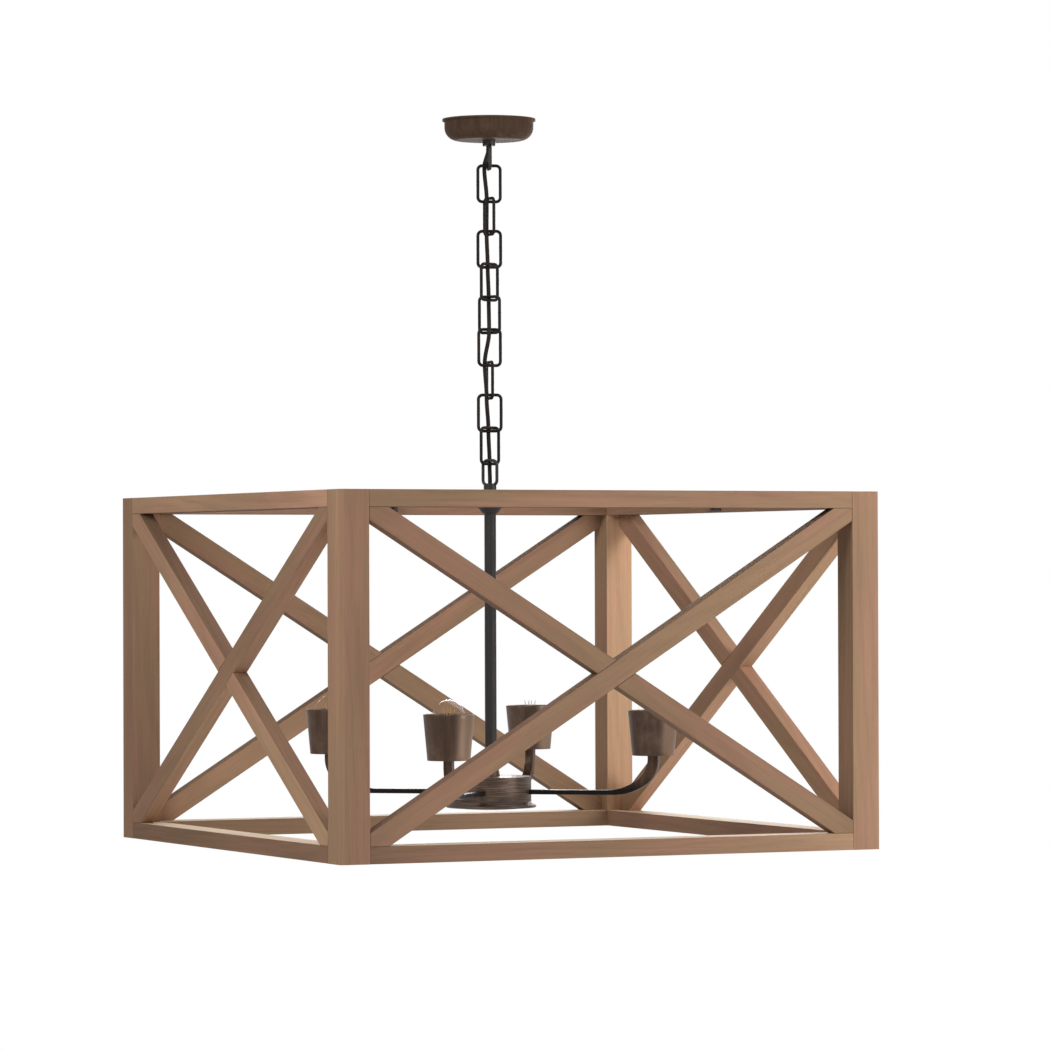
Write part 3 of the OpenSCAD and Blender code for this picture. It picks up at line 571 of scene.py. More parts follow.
def metal_material(name, base, streak, streak_scale, streaks, clouds, gloss, matt, metallic, wear_and_sheen=None,
        worn_share=0.5, depth=0.00012, specular=0.5, painted_sheen=0.0):
    """A metal finish, made the first time that it is asked for. The wear colour shows along edges, and also as a
    painted sheen on the side that faces the sheen direction, in the share given for the sheen."""
    if name in bpy.data.materials:
        return bpy.data.materials[name]
    material, w, shader = new_material(name)
    place = w.add("TexCoord").outputs
    point = place["Object"]
    finish = place_group(w, "Antique finish", Place=point, Base=base, Streak=streak,
        Streak_scale=streak_scale, Streaks=streaks, Clouds=clouds, Gloss=gloss, Matt=matt)
    tone = finish.outputs["Color"]
    # Painted sheen: the wear colour laid on the side that faces the sheen direction
    if painted_sheen:
        turned = w.vector("DOT_PRODUCT", place["Normal"], PAINTED_SHEEN_SIDE)
        tone = w.mix(w.spread(turned, 0.2, 0.75, 0.0, painted_sheen), tone, wear_and_sheen)
    if wear_and_sheen:
        edge = place_group(w, "Worn edge", Place=point, Reach=0.0012, Break_up=0.5, Scale=300.0)
        tone = w.mix(w.maths("MULTIPLY", edge.outputs["Mask"], worn_share), tone, wear_and_sheen)
    w.put(shader, "Base Color", tone)
    w.put(shader, "Roughness", finish.outputs["Roughness"])
    shader.inputs["Metallic"].default_value = metallic
    shader.inputs["Specular IOR Level"].default_value = specular
    relief(w, shader, finish.outputs["Height"], depth)
    return material


def black_metal(s):
    """The black of the stem, the hanger and the end loops."""
    return metal_material("black_finish", s.black, s.black_worn, (90, 90, 20), streaks=0.14, clouds=0.16,
        gloss=0.4, matt=0.55, metallic=0.1, wear_and_sheen=s.black_worn, worn_share=0.3, specular=0.22)


def chain_metal(s):
    """The dark iron of the chain, a little rough like forged wire."""
    return metal_material("chain_finish", s.iron, s.iron_worn, (420, 420, 420), streaks=0.22, clouds=0.22,
        gloss=0.4, matt=0.62, metallic=0.1, wear_and_sheen=s.iron_worn, worn_share=0.25, depth=0.0002, specular=0.14)


def canopy_metal(s):
    """The canopy's matt bronze."""
    return metal_material("bronze_finish", s.bronze, s.bronze_streak_and_sheen, (160, 160, 9), streaks=0.16, clouds=0.34,
        gloss=0.6, matt=0.75, metallic=0.0, wear_and_sheen=s.bronze_streak_and_sheen, worn_share=0.6, depth=0.00002, specular=0.06)


def cup_metal(s):
    """The cups' bronze, with a painted sheen on one side."""
    return metal_material("cup_finish", s.bronze, s.bronze_streak_and_sheen, (160, 160, 9), streaks=0.12, clouds=0.3,
        gloss=0.36, matt=0.5, metallic=0.35, wear_and_sheen=s.bronze_streak_and_sheen, worn_share=0.6, depth=0.00008,
        specular=0.36, painted_sheen=0.78)


def hub_metal(s):
    """The hub's finish, brushed round its axis."""
    return metal_material("hub_finish", s.hub, s.bronze_streak_and_sheen, (26, 26, 620), streaks=0.62, clouds=0.2,
        gloss=0.34, matt=0.52, metallic=0.45, wear_and_sheen=s.bronze_streak_and_sheen, worn_share=0.8, depth=0.0001)


def zinc_metal(s):
    """The plating of the bracket and the hub's fixings."""
    return metal_material("zinc_plate", s.zinc, paint("c9cac8"), (300, 30, 300), streaks=0.4, clouds=0.35,
        gloss=0.25, matt=0.42, metallic=0.9, wear_and_sheen=paint("d8d8d6"), worn_share=0.4)


def screw_metal(s):
    """The blackened finish of the hanger's wood screws."""
    return metal_material("screw_plate", s.screws, s.black_worn, (300, 30, 300), streaks=0.4, clouds=0.35,
        gloss=0.3, matt=0.45, metallic=0.5, wear_and_sheen=s.black_worn, worn_share=0.4, specular=0.25)


def cap_metal(s):
    """The nickel of the bulbs' caps and the holders' shells."""
    return metal_material("bulb_cap", s.cap, paint("8c877b"), (300, 300, 60), streaks=0.3, clouds=0.4,
        gloss=0.2, matt=0.4, metallic=0.95)


def arm_material(s):
    """Black on the level part of an arm, turning to bronze up its horn."""
    material, w, shader = new_material("arm_finish")
    point = object_place(w)
    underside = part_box("arm_front_right")[0].z
    height = w.add("SeparateXYZ", Vector=point).outputs["Z"]
    up = w.spread(height, underside + 0.004, underside + 0.028)
    black = place_group(w, "Antique finish", Place=point, Base=s.iron, Streak=s.iron_worn,
        Streak_scale=(60, 60, 300), Streaks=0.06, Clouds=0.06, Gloss=0.5, Matt=0.62)
    bronze = place_group(w, "Antique finish", Place=point, Base=s.bronze, Streak=s.bronze_streak_and_sheen,
        Streak_scale=(140, 140, 30), Streaks=0.4, Clouds=0.2, Gloss=0.34, Matt=0.5)
    edge = place_group(w, "Worn edge", Place=point, Reach=0.0012, Break_up=0.5, Scale=300.0)
    tone = w.mix(up, black.outputs["Color"], bronze.outputs["Color"])
    share = w.maths("MULTIPLY", edge.outputs["Mask"], w.maths("MULTIPLY", up, 0.5))
    w.put(shader, "Base Color", w.mix(share, tone, s.bronze_streak_and_sheen))
    w.put(shader, "Roughness", bronze.outputs["Roughness"])
    shader.inputs["Metallic"].default_value = 0.2
    shader.inputs["Specular IOR Level"].default_value = 0.15
    relief(w, shader, black.outputs["Height"], 0.0001)
    return material


class CHANDELIER_OT_metalwork(Operator):
    """Finishes of the canopy, stem, hub, arms, cups and fixings"""

    bl_idname = "chandelier.metalwork"
    bl_label = "Dress the metalwork"

    def execute(self, context):
        s = context.scene.chandelier_metal
        for node in ("stem", "stem_boss", "hanger_cross", "hanging_eye", "canopy_loop"):
            wear(node, black_metal(s))
        for node in ("hanger_cross", "stem_boss"):
            round_edges(node, 0.0005)
        arms = arm_material(s)
        for corner in CORNERS:
            wear(f"arm_{corner}", arms)
            round_edges(f"arm_{corner}", 0.0012, 3)
            wear(f"cup_{corner}", cup_metal(s))
            round_edges(f"cup_{corner}", 0.0004)
        for node, width, finish in (("canopy", 0.0006, canopy_metal), ("hub_body", 0.0009, hub_metal),
                ("hub_cover", 0.0006, hub_metal)):
            wear(node, finish(s))
            round_edges(node, width, 3)
        for node in ("ceiling_bracket", "hub_fixings"):
            wear(node, zinc_metal(s))
            round_edges(node, 0.0004)
        return {"FINISHED"}


def ring_mesh(name, rings, material, closed=False, along=None):
    """A smooth piece from rings of points, each joined to the next. A closed one joins the last ring to the
    first, and an open one is capped. along is each ring's place along a cord, for its weave."""
    count, around = len(rings), len(rings[0])
    points = [tuple(p) for ring in rings for p in ring]
    faces = []
    for i in range(count if closed else count - 1):
        j = (i + 1) % count
        for k in range(around):
            n = (k + 1) % around
            faces.append((i * around + k, i * around + n, j * around + n, j * around + k))
    if not closed:
        faces.append(tuple(range(around))[::-1])
        faces.append(tuple((count - 1) * around + k for k in range(around)))
    mesh = bpy.data.meshes.new(name)
    mesh.from_pydata(points, [], faces)
    if along:
        unwrap(mesh, around, along)
    mesh.materials.append(material)
    for face in mesh.polygons:
        face.use_smooth = True
    mesh.validate()
    turn_outward(mesh)
    made = bpy.data.objects.new(name, mesh)
    bpy.context.scene.collection.objects.link(made)
    return made


def unwrap(mesh, around, along):
    """Lays a cord's faces out flat: once round it is 0 to 1, and its length is in metres."""
    layer = mesh.uv_layers.new(name="Cord")
    for face in mesh.polygons:
        last = max(v % around for v in face.vertices) == around - 1
        for corner, vertex in zip(face.loop_indices, face.vertices):
            ring, side = divmod(vertex, around)
            layer.data[corner].uv = (1.0 if last and side == 0 else side / around, along[ring])


def turn_outward(mesh):
    """Turns the faces of a closed mesh so that they look out."""
    work = bmesh.new()
    work.from_mesh(mesh)
    bmesh.ops.recalc_face_normals(work, faces=work.faces)
    work.to_mesh(mesh)
    work.free()


def stand_for(made, node):
    """Lets a piece replace a CAD node and ride on its body."""
    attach(made, BODY_OF[node])
    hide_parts(node)


def seat_height(number):
    """The height of the bar on which the chain's next piece hangs. Piece 0 is the canopy's loop."""
    wire = LOOP_WIRE if number == 0 else LINK_WIRE
    return JOINTS[f"chain_{number + 1}"]["pos_m"][2] + wire / 2


def bar_turn(number):
    """The direction of that bar about the chain's own line, in radians."""
    if number > LINKS:
        return EYE_TURN
    x, y, _ = JOINTS[f"chain_{number + 1}"]["axis"]
    return atan2(y, x)


def wire_path(width, inner, wire, corner):
    """(x, z, outward angle) along the middle of a link's wire, from the middle of its right side."""
    half = (width - wire) / 2
    low, high = -wire / 2, inner + wire / 2
    middle = (low + high) / 2
    path = []

    def straight(x0, z0, x1, z1, steps, angle):
        for n in range(steps):
            t = n / steps
            path.append((x0 + (x1 - x0) * t, z0 + (z1 - z0) * t, angle))

    def bend(x, z, start, steps=8):
        for n in range(steps):
            a = start + pi / 2 * n / steps
            path.append((x + corner * cos(a), z + corner * sin(a), a))

    straight(half, middle, half, high - corner, 14, 0.0)
    bend(half - corner, high - corner, 0.0)
    straight(half - corner, high, corner - half, high, 12, pi / 2)
    bend(corner - half, high - corner, pi / 2)
    straight(-half, high - corner, -half, low + corner, 28, pi)
    bend(corner - half, low + corner, pi)
    straight(corner - half, low, half - corner, low, 12, 1.5 * pi)
    bend(half - corner, low + corner, 1.5 * pi)
    straight(half, low + corner, half, middle, 14, 0.0)
    return path


class CHANDELIER_OT_chain(Operator):
    """The nine links, each bent from round wire with its weld in one side"""

    bl_idname = "chandelier.chain"
    bl_label = "Make the chain"

    def execute(self, context):
        metal = chain_metal(context.scene.chandelier_metal)
        path = wire_path(LINK_WIDTH, LINK_INNER, LINK_WIRE, LINK_CORNER)
        for number in range(1, LINKS + 1):
            turn = Matrix.Rotation(bar_turn(number), 4, "Z")
            place = Matrix.Translation((0, 0, seat_height(number))) @ turn
            rings = [self.wire_ring(number, place, *point) for point in path]
            made = ring_mesh(f"chain_link_{number}", rings, metal, closed=True)
            stand_for(made, f"link_{number}")
        return {"FINISHED"}

    def wire_ring(self, number, place, x, z, angle, sides=16):
        """One ring round a link's wire. The wire is slightly uneven away from the bars where links meet, and
        swells at its weld, with a fine seam in the middle of it."""
        welded_side = -1 if number % 2 else 1
        from_weld = z - LINK_INNER / 2
        weld = seam = 0.0
        if x * welded_side > 0.012:
            weld = 0.11 * exp(-(from_weld / 0.0022) ** 2)
            seam = 0.16 * exp(-(from_weld / 0.00035) ** 2)
        free = min(1.0, max(0.0, (abs(x) - 0.006) / 0.006))
        ring = []
        for k in range(sides):
            a = tau * k / sides
            rough = 0.035 * noise.noise(Vector((x * 300, z * 300 + 7.3 * number, a * 1.5))) * free
            r = LINK_WIRE / 2 * (1 + weld - seam + rough)
            out = r * cos(a)
            ring.append(place @ Vector((x + out * cos(angle), r * sin(a), z + out * sin(angle))))
        return ring


def cord_crossing(number):
    """Where the cord passes the two bars that meet under piece number of the chain: in the wider gap
    between them, on the left of the chain."""
    a, b = (degrees(bar_turn(n)) % 180 for n in (number, number + 1))
    spread = (b - a) % 180
    wide = max(spread, 180 - spread)
    middle = ((a if spread >= 90 else b) + wide / 2) % 180
    side = (middle - SIGHT_TURN) % 180
    wire = max(LOOP_WIRE if n in (0, LINKS + 1) else LINK_WIRE for n in (number, number + 1))
    out = (wire / 2 + CORD_WIDTH / 2 + CORD_CLEAR) / sin(radians(wide / 2))
    angle = radians(SIGHT_TURN + side + (180 if side < 90 else 0))
    return Vector((out * cos(angle), out * sin(angle), seat_height(number)))


def cord_route(steps=24, first_steps=6):
    """The cord's middle line, from the terminal block to the splice in the hub, and the index where each
    section ends."""
    end, top = (corner.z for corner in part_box("lamp_cord"))
    eye_floor = seat_height(LINKS) + LINK_GAP - LOOP_INNER
    knots = [Vector((0, 0, seat_height(0) + LOOP_INNER))]
    knots += [cord_crossing(n) for n in range(LINKS + 1)]
    knots += [Vector((0, 0, eye_floor))]
    route = [Vector((0, 0, top + (knots[0].z - top) * n / first_steps)) for n in range(first_steps)]
    for a, b in zip(knots, knots[1:]):
        for n in range(steps):
            t = n / steps
            ease = (1 - cos(pi * t)) / 2
            route.append(Vector((a.x + (b.x - a.x) * ease, a.y + (b.y - a.y) * ease, a.z + (b.z - a.z) * t)))
    route += [Vector((0, 0, eye_floor + (end - eye_floor) * n / steps)) for n in range(steps + 1)]
    middles = [seat_height(n) + LINK_INNER / 2 for n in range(1, LINKS + 1)]
    cuts = [min(range(len(route)), key=lambda i, z=z: abs(route[i].z - z)) for z in middles]
    return route, [0] + cuts + [len(route) - 1]


def circle(middle, a, b, radius, sides):
    """A ring of points about middle, in the plane of the unit vectors a and b."""
    return [middle + radius * (cos(tau * k / sides) * a + sin(tau * k / sides) * b) for k in range(sides)]


def cord_material(s):
    """A woven sleeve: two sets of threads that cross round the cord."""
    material, w, shader = new_material("cord_sleeve")
    uv = w.add("UVMap", {"uv_map": "Cord"}).outputs[0]
    parts = w.add("SeparateXYZ", Vector=uv).outputs
    around = w.maths("MULTIPLY", parts["X"], float(s.strands))
    along = w.maths("MULTIPLY", parts["Y"], 420.0)
    threads = []
    for way in ("ADD", "SUBTRACT"):
        phase = w.maths("MULTIPLY", w.maths(way, around, along), tau)
        threads.append(w.maths("MULTIPLY", w.maths("ADD", w.maths("SINE", phase), 1.0), 0.5))
    top = w.maths("MAXIMUM", *threads)
    dirt = w.noise(object_place(w), 60.0, 3.0)
    share = w.maths("MULTIPLY", w.spread(top, 0.5, 1.0), w.spread(dirt, 0.3, 0.7, 0.5, 1.0))
    w.put(shader, "Base Color", w.mix(share, s.sleeve, s.thread))
    w.put(shader, "Roughness", w.spread(top, 0.2, 1.0, 0.85, 0.62))
    shader.inputs["Specular IOR Level"].default_value = 0.2
    relief(w, shader, top, 0.0003, 0.8)
    return material


def lead_material():
    """The plain sleeve of the flat leads in the arms."""
    material, w, shader = new_material("lead_sleeve")
    point = object_place(w)
    w.put(shader, "Base Color", w.mix(w.noise(point, 80.0), paint("2a2521"), paint("463d36")))
    w.put(shader, "Roughness", w.spread(w.noise(point, 300.0), 0.3, 0.7, 0.45, 0.6))
    return material


class CHANDELIER_OT_cord(Operator):
    """The lamp cord, woven through the chain, in sections cut at the middles of the links"""

    bl_idname = "chandelier.cord"
    bl_label = "Make the cord"

    def execute(self, context):
        sleeve = cord_material(context.scene.chandelier_cord)
        route, cuts = cord_route()
        last = len(route) - 1
        rings, reach = [], [0.0]
        for i, point in enumerate(route):
            tangent = (route[min(i + 1, last)] - route[max(i - 1, 0)]).normalized()
            a = tangent.cross(Vector((0, 1, 0))).normalized()
            rings.append(circle(point, a, tangent.cross(a), CORD_WIDTH / 2, 16))
            if i:
                reach.append(reach[-1] + (point - route[i - 1]).length)
        for number, (start, end) in enumerate(zip(cuts, cuts[1:])):
            section = slice(start, end + 1)
            made = ring_mesh(f"cord_section_{number + 1}", rings[section], sleeve, along=reach[section])
            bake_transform(made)
            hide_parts("lamp_cord")
        wear("lamp_leads", lead_material())
        return {"FINISHED"}


def upright_seat(node):
    """(foot, radius, height) of a round CAD node that stands upright."""
    low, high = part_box(node)
    foot = Vector(((low.x + high.x) / 2, (low.y + high.y) / 2, low.z))
    return foot, (high.x - low.x) / 2, high.z - low.z


def lathe(name, outline, material, at, sides=64, thread=(0, 0, 0, 1)):
    """A piece turned about the upright line through at. outline is (radius, height) from one end to the
    other, and thread is the (low, high, depth, pitch) of a screw thread in it."""
    low, high, depth, pitch = thread
    rings = []
    for r, z in outline:
        ring = []
        for k in range(sides):
            a = tau * k / sides
            radius = r
            if low < z < high:
                fade = min(1.0, (z - low) / pitch * 2, (high - z) / pitch * 2)
                radius += depth * fade * sin(tau * (z / pitch - k / sides))
            ring.append((at[0] + radius * cos(a), at[1] + radius * sin(a), at[2] + z))
        rings.append(ring)
    return ring_mesh(name, rings, material)


def arc(centre, radius, start, end, steps):
    """(radius, height) points of an arc, from angle start to end in degrees, with 90 at its top."""
    angles = [radians(start + (end - start) * n / steps) for n in range(steps + 1)]
    return [(centre[0] + radius * cos(a), centre[1] + radius * sin(a)) for a in angles]


def glass_material():
    """Thin clear glass, of which little more than its bright edges shows."""
    material, w, shader = new_material("bulb_glass")
    shader.inputs["Base Color"].default_value = (0.97, 0.98, 0.98, 1)
    shader.inputs["Transmission Weight"].default_value = 1.0
    shader.inputs["IOR"].default_value = 1.01
    shader.inputs["Alpha"].default_value = 0.1
    shader.inputs["Specular IOR Level"].default_value = 0.3
    w.put(shader, "Roughness", w.spread(w.noise(object_place(w), 40.0), 0.35, 0.75, 0.0, 0.05))
    return material


def porcelain_material(s):
    """The glazed porcelain of the holders and the terminal block."""
    material, w, shader = new_material("holder_porcelain")
    point = object_place(w)
    stain = w.spread(w.noise(point, 45.0), 0.4, 0.8)
    w.put(shader, "Base Color", w.mix(stain, s.holder, paint("bdb5a4")))
    w.put(shader, "Roughness", w.spread(w.noise(point, 130.0), 0.3, 0.7, 0.22, 0.4))
    relief(w, shader, w.noise(point, 500.0), 0.0001, 0.5)
    return material


def filament_material(s):
    """The pale yellow coating of the filament sticks."""
    material, w, shader = new_material("bulb_filament")
    point = object_place(w)
    w.put(shader, "Base Color", w.mix(w.noise(point, 900.0), s.filament, paint("e8c478")))
    w.put(shader, "Roughness", w.spread(w.noise(point, 700.0), 0.3, 0.7, 0.4, 0.6))
    return material


class CHANDELIER_OT_bulbs(Operator):
    """Clear globe bulbs with screw caps, in porcelain holders threaded outside, with plain metal shells"""

    bl_idname = "chandelier.bulbs"
    bl_label = "Make the bulbs"

    def execute(self, context):
        s = context.scene.chandelier_bulbs
        glass = glass_material()
        cap = cap_metal(context.scene.chandelier_metal)
        porcelain = porcelain_material(s)
        filament = filament_material(s)
        wear("terminal_block", porcelain)
        for corner in CORNERS:
            at, radius, height = upright_seat(f"bulb_{corner}")
            globe = self.globe(corner, at, radius, height, glass)
            screw_cap = self.cap(corner, at, cap, s.thread_pitch)
            post = self.post(corner, at, glass)
            for made in (globe, screw_cap, post, *self.filaments(corner, at, filament)):
                stand_for(made, f"bulb_{corner}")
            at, radius, height = upright_seat(f"holder_{corner}")
            body = self.holder_body(corner, at, radius, height, porcelain)
            shell = self.holder_shell(corner, at, height, cap)
            for made in (body, shell):
                stand_for(made, f"holder_{corner}")
        return {"FINISHED"}

    def globe(self, corner, at, radius, height, glass):
        """The globe and its neck, with the wall's inside. Heights count from the foot of the bulb."""
        wall = 0.0008
        neck, neck_top = 0.0119, 0.027
        shoulder_out, shoulder_up = 0.0061, 0.009
        centre = (0, height - radius)
        outer = [(0.0118, 0.0245), (neck, neck_top)]
        outer += [(neck + shoulder_out * t * t * (3 - 2 * t), neck_top + shoulder_up * t)
            for t in (0.2, 0.4, 0.6, 0.8, 1.0)]
        inner = [(r - wall, z - wall * 0.4) for r, z in outer]
        outer += arc(centre, radius, -36, 89.5, 22)
        inner += arc(centre, radius - wall, -36, 89.5, 22)
        return lathe(f"bulb_glass_{corner}", outer + inner[::-1], glass, at)

    def cap(self, corner, at, metal, pitch):
        """The screw cap: its contact and insulator, the threaded shell and the rim round the neck."""
        foot, top, depth = 0.0068, 0.0228, 0.0006
        outline = [(0.0006, 0.0), (0.0036, 0.0003), (0.0042, 0.0012), (0.0047, 0.0022), (0.0088, 0.0050)]
        outline += [(0.0112, 0.0062)]
        outline += [(0.0121, foot + 0.0004 * n) for n in range(40)]
        outline += [(0.0124, 0.0232), (0.0129, 0.0240), (0.0129, 0.0248), (0.0122, 0.0252)]
        return lathe(f"bulb_cap_{corner}", outline, metal, at, thread=(foot, top, depth, pitch))

    def post(self, corner, at, glass):
        """The glass post on which the filaments stand."""
        outline = [(0.0052, 0.0250), (0.0048, 0.0262), (0.0026, 0.0300), (0.0022, 0.0340), (0.0030, 0.0362)]
        outline += [(0.0006, 0.0370)]
        return lathe(f"bulb_post_{corner}", outline, glass, at, 32)

    def filaments(self, corner, at, coating):
        """Four sticks that lean out from the post, each with narrowed wire ends."""
        radius, twist = 0.00055, 0.5
        foot_out, foot_up = 0.0022, 0.0350
        head_out, head_up = 0.0085, 0.0610
        made = []
        for k in range(4):
            turn = tau * k / 4 + 0.4
            foot = at + Vector((foot_out * cos(turn), foot_out * sin(turn), foot_up))
            head = at + Vector((head_out * cos(turn + twist), head_out * sin(turn + twist), head_up))
            line = (head - foot).normalized()
            a = line.cross(Vector((0, 0, 1))).normalized()
            rings = []
            for t in (0.0, 0.08, 0.1, 0.12, 0.3, 0.5, 0.7, 0.88, 0.9, 0.92, 1.0):
                width = radius * (0.3 if t < 0.09 or t > 0.91 else 0.8 if t in (0.1, 0.9) else 1.0)
                rings.append(circle(foot + (head - foot) * t, a, line.cross(a), width, 12))
            made.append(ring_mesh(f"bulb_filament_{corner}_{k + 1}", rings, coating))
        return made

    def holder_body(self, corner, at, r, top, porcelain):
        """The porcelain, ribbed round its outside, with its hollow for the shell."""
        bore, hollow, hollow_floor = 0.0053, 0.0141, 0.0084
        outline = [(bore, 0.0), (r - 0.0012, 0.0), (r - 0.0003, 0.0004), (r, 0.0014), (r, 0.0080)]
        outline += [(r - 0.0016, 0.0090)]
        outline += [(r - 0.0013, 0.0095 + 0.00055 * n) for n in range(38)]
        outline += [(r - 0.0018, 0.0308), (r, 0.0318), (r, top - 0.0012), (r - 0.0004, top - 0.0003)]
        outline += [(r - 0.0014, top), (0.0148, top), (0.0142, top - 0.0006)]
        outline += [(hollow, hollow_floor), (bore, 0.0083)]
        return lathe(f"holder_body_{corner}", outline, porcelain, at, thread=(0.0095, 0.0304, 0.0009, 0.0032))

    def holder_shell(self, corner, at, top, metal):
        """The metal shell inside the porcelain."""
        outer, inner, foot = 0.01405, 0.01335, 0.0086
        outline = [(outer, foot), (outer, top - 0.001), (0.01345, top - 0.0008), (inner, top - 0.0012)]
        outline += [(inner, top - 0.0016 - 0.0006 * n) for n in range(40)]
        outline += [(inner, foot)]
        return lathe(f"holder_shell_{corner}", outline, metal, at)


class CHANDELIER_OT_screws(Operator):
    """The wood screws that hold the hanger cross, with domed heads and crossed slots"""

    bl_idname = "chandelier.screws"
    bl_label = "Make the screws"

    def execute(self, context):
        metal = screw_metal(context.scene.chandelier_metal)
        low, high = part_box("cross_screws")
        height = (low.z + high.z) / 2
        tab_face = -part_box("hanger_cross")[0].y - 0.003
        from_middle = 0.008
        for number, wall in enumerate(WALLS):
            turn = Matrix.Rotation(radians(90) * number, 4, "Z")
            for side, hand in ((-1, "left"), (1, "right")):
                place = Matrix.Translation((side * from_middle, -tab_face, height))
                spin = Matrix.Rotation(radians(17 * number + 40 * side), 4, "Z")
                seat = turn @ place @ Matrix.Rotation(radians(-90), 4, "X") @ spin
                made = ring_mesh(f"cross_screw_{wall}_{hand}", self.screw_rings(seat), metal)
                stand_for(made, "cross_screws")
        return {"FINISHED"}

    def screw_rings(self, seat, sides=32, turns=60):
        """Heights run out of the head. The head's slots are pressed down, and the shank is threaded to its
        point."""
        shank, length, pitch = 0.0020, 0.0200, 0.0018
        slot_reach, slot_half, slot_depth = 0.0023, 0.00045, 0.0011
        angles = [tau * k / sides for k in range(sides)]
        rings = []
        for n in range(turns):
            z = -length + 0.0002 + (length - 0.0016) * n / turns
            width = shank * min(1.0, (z + length + 0.0006) / 0.004)
            rings.append([(width * (0.84 + 0.16 * sin(tau * (z / pitch - k / sides))), z)
                for k in range(sides)])
        rings.append([(shank * 0.9, -0.0010)] * sides)
        rings.append([(shank * 0.9, 0.0)] * sides)
        head = [(0.0034, 0.0), (0.0035, 0.0004), (0.0035, 0.0010), (0.0033, 0.0016), (0.0029, 0.0020)]
        head += [(0.0024, 0.0022), (0.0020, 0.0023), (0.0016, 0.00235), (0.0012, 0.0024), (0.0008, 0.0024)]
        head += [(0.0004, 0.0024), (0.00008, 0.0024)]
        for r, z in head:
            in_slot = [r < slot_reach and min(abs(r * cos(a)), abs(r * sin(a))) < slot_half for a in angles]
            rings.append([(r, z - slot_depth if pressed else z) for pressed in in_slot])
        return [[seat @ Vector((r * cos(a), r * sin(a), z)) for a, (r, z) in zip(angles, ring)]
            for ring in rings]


def camera_matrix():
    """The photograph's camera, turned about the upright, then pitched, then rolled."""
    turn, pitch, roll = (radians(a) for a in CAMERA_ANGLES)
    level_right = Vector((cos(turn), -sin(turn), 0))
    ahead = Vector((sin(turn), cos(turn), 0))
    up = Vector((0, 0, 1))
    forward = ahead * cos(pitch) - up * sin(pitch)
    level_down = -(ahead * sin(pitch) + up * cos(pitch))
    right = level_right * cos(roll) - level_down * sin(roll)
    down = level_right * sin(roll) + level_down * cos(roll)
    matrix = Matrix((right, -down, -forward)).transposed().to_4x4()
    matrix.translation = Vector(CAMERA_PLACE)
    return matrix


def seen_plainly(w):
    """1 where the camera looks, straight or by way of metal or glass, and 0 for light on the object."""
    ray = w.add("LightPath").outputs
    straight = w.maths("MAXIMUM", ray["Is Camera Ray"], ray["Is Glossy Ray"])
    return w.maths("MAXIMUM", straight, ray["Is Transmission Ray"])


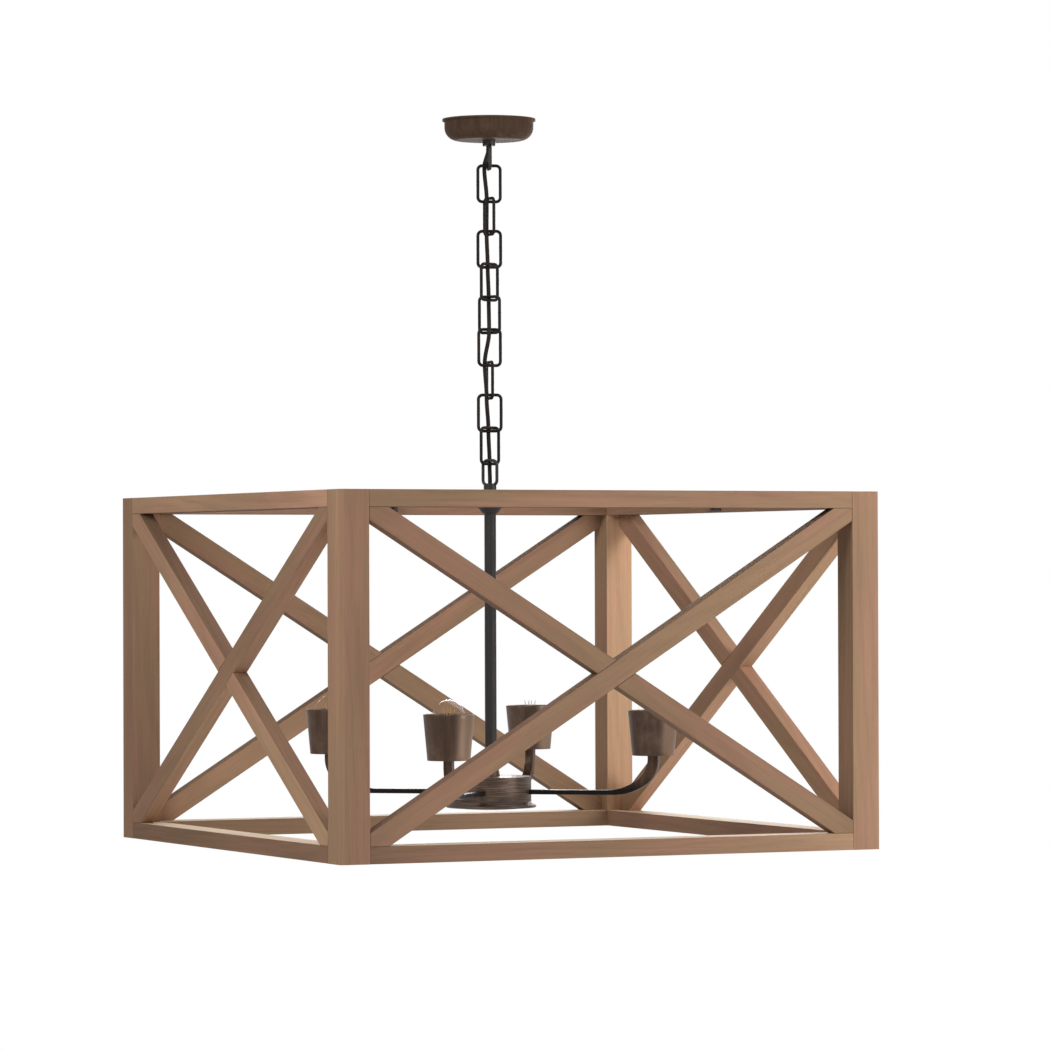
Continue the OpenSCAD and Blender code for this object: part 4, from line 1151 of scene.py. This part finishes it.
class CHANDELIER_OT_stage(Operator):
    """The floor, the lamps, the pale surroundings and the camera"""

    bl_idname = "chandelier.stage"
    bl_label = "Set the stage"

    def execute(self, context):
        s = context.scene.chandelier_stage
        self.floor(context, s)
        self.surroundings(context, s)
        for name, (place, width) in LAMPS.items():
            self.lamp(context, f"{name}_lamp", place, width, getattr(s, name))
        self.camera(context)
        context.scene.view_settings.view_transform = "Standard"
        return {"FINISHED"}

    def floor(self, context, s):
        """A plain floor that keeps the shadow near the middle and is white farther out."""
        material = bpy.data.materials.new("pale_floor")
        w = empty_wiring(material)
        matt = w.add("BsdfDiffuse", Color=s.floor)
        glow = w.add("Emission", Color=(1, 1, 1), Strength=1.0)
        away = w.vector("LENGTH", object_place(w))
        white = w.maths("MULTIPLY", seen_plainly(w), w.spread(away, s.pool, s.pool + 0.9, 0.88, 1.0))
        w.add("OutputMaterial", Surface=w.add("MixShader", n0=white, n1=matt, n2=glow))
        mesh = bpy.data.meshes.new("floor")
        corners = [(x * FLOOR_HALF, y * FLOOR_HALF, 0) for x, y in ((-1, -1), (1, -1), (1, 1), (-1, 1))]
        mesh.from_pydata(corners, [], [(0, 1, 2, 3)])
        mesh.materials.append(material)
        floor = bpy.data.objects.new("floor", mesh)
        floor.location.z = CAD_BOX[0][2] - s.drop
        context.scene.collection.objects.link(floor)

    def surroundings(self, context, s):
        """A faint even light on the object, with white behind it."""
        world = context.scene.world or bpy.data.worlds.new("surroundings")
        context.scene.world = world
        w = empty_wiring(world)
        plain = w.add("Background", Color=(0.95, 0.97, 1.0), Strength=s.ambient)
        white = w.add("Background", Color=(1, 1, 1), Strength=1.0)
        w.add("OutputWorld", Surface=w.add("MixShader", n0=seen_plainly(w), n1=plain, n2=white))

    def lamp(self, context, name, place, width, power):
        """A square lamp of this width, turned towards the cage."""
        light = bpy.data.lights.new(name, "AREA")
        light.size = width
        light.energy = power
        held = bpy.data.objects.new(name, light)
        held.location = place
        held.rotation_euler = (LAMP_TARGET - Vector(place)).to_track_quat("-Z", "Y").to_euler()
        context.scene.collection.objects.link(held)

    def camera(self, context):
        """The photograph's camera, through which the object is seen."""
        camera = bpy.data.cameras.new("photo_camera")
        camera.sensor_width = CAMERA_SENSOR
        camera.lens = LENS_PIXELS / PICTURE_PIXELS * CAMERA_SENSOR
        camera.clip_end = 60
        held = bpy.data.objects.new("photo_camera", camera)
        held.matrix_world = camera_matrix()
        context.scene.collection.objects.link(held)
        context.scene.camera = held


class CHANDELIER_PT_panel(Panel):
    bl_idname = "CHANDELIER_PT_panel"
    bl_label = "Cage chandelier"
    bl_space_type = "VIEW_3D"
    bl_region_type = "UI"
    bl_category = "Chandelier"

    def draw(self, context):
        for operator, settings in STEPS:
            self.layout.operator(operator.bl_idname)
            group = getattr(context.scene, settings)
            for name in type(group).__annotations__:
                self.layout.prop(group, name)


STEPS = (
    (CHANDELIER_OT_stage, "chandelier_stage"),
    (CHANDELIER_OT_boards, "chandelier_boards"),
    (CHANDELIER_OT_metalwork, "chandelier_metal"),
    (CHANDELIER_OT_chain, "chandelier_metal"),
    (CHANDELIER_OT_cord, "chandelier_cord"),
    (CHANDELIER_OT_bulbs, "chandelier_bulbs"),
    (CHANDELIER_OT_screws, "chandelier_metal"),
)
SETTINGS = {
    "chandelier_boards": BoardSettings,
    "chandelier_metal": MetalSettings,
    "chandelier_cord": CordSettings,
    "chandelier_bulbs": BulbSettings,
    "chandelier_stage": StageSettings,
}


def register():
    for name, group in SETTINGS.items():
        bpy.utils.register_class(group)
        setattr(bpy.types.Scene, name, PointerProperty(type=group))
    for operator, _ in STEPS:
        bpy.utils.register_class(operator)
    bpy.utils.register_class(CHANDELIER_PT_panel)


def unregister():
    bpy.utils.unregister_class(CHANDELIER_PT_panel)
    for operator, _ in reversed(STEPS):
        bpy.utils.unregister_class(operator)
    for name, group in reversed(SETTINGS.items()):
        delattr(bpy.types.Scene, name)
        bpy.utils.unregister_class(group)


def main():
    register()
    for operator, _ in STEPS:
        category, name = operator.bl_idname.split(".")
        getattr(getattr(bpy.ops, category), name)()


if __name__ == "__main__":
    main()
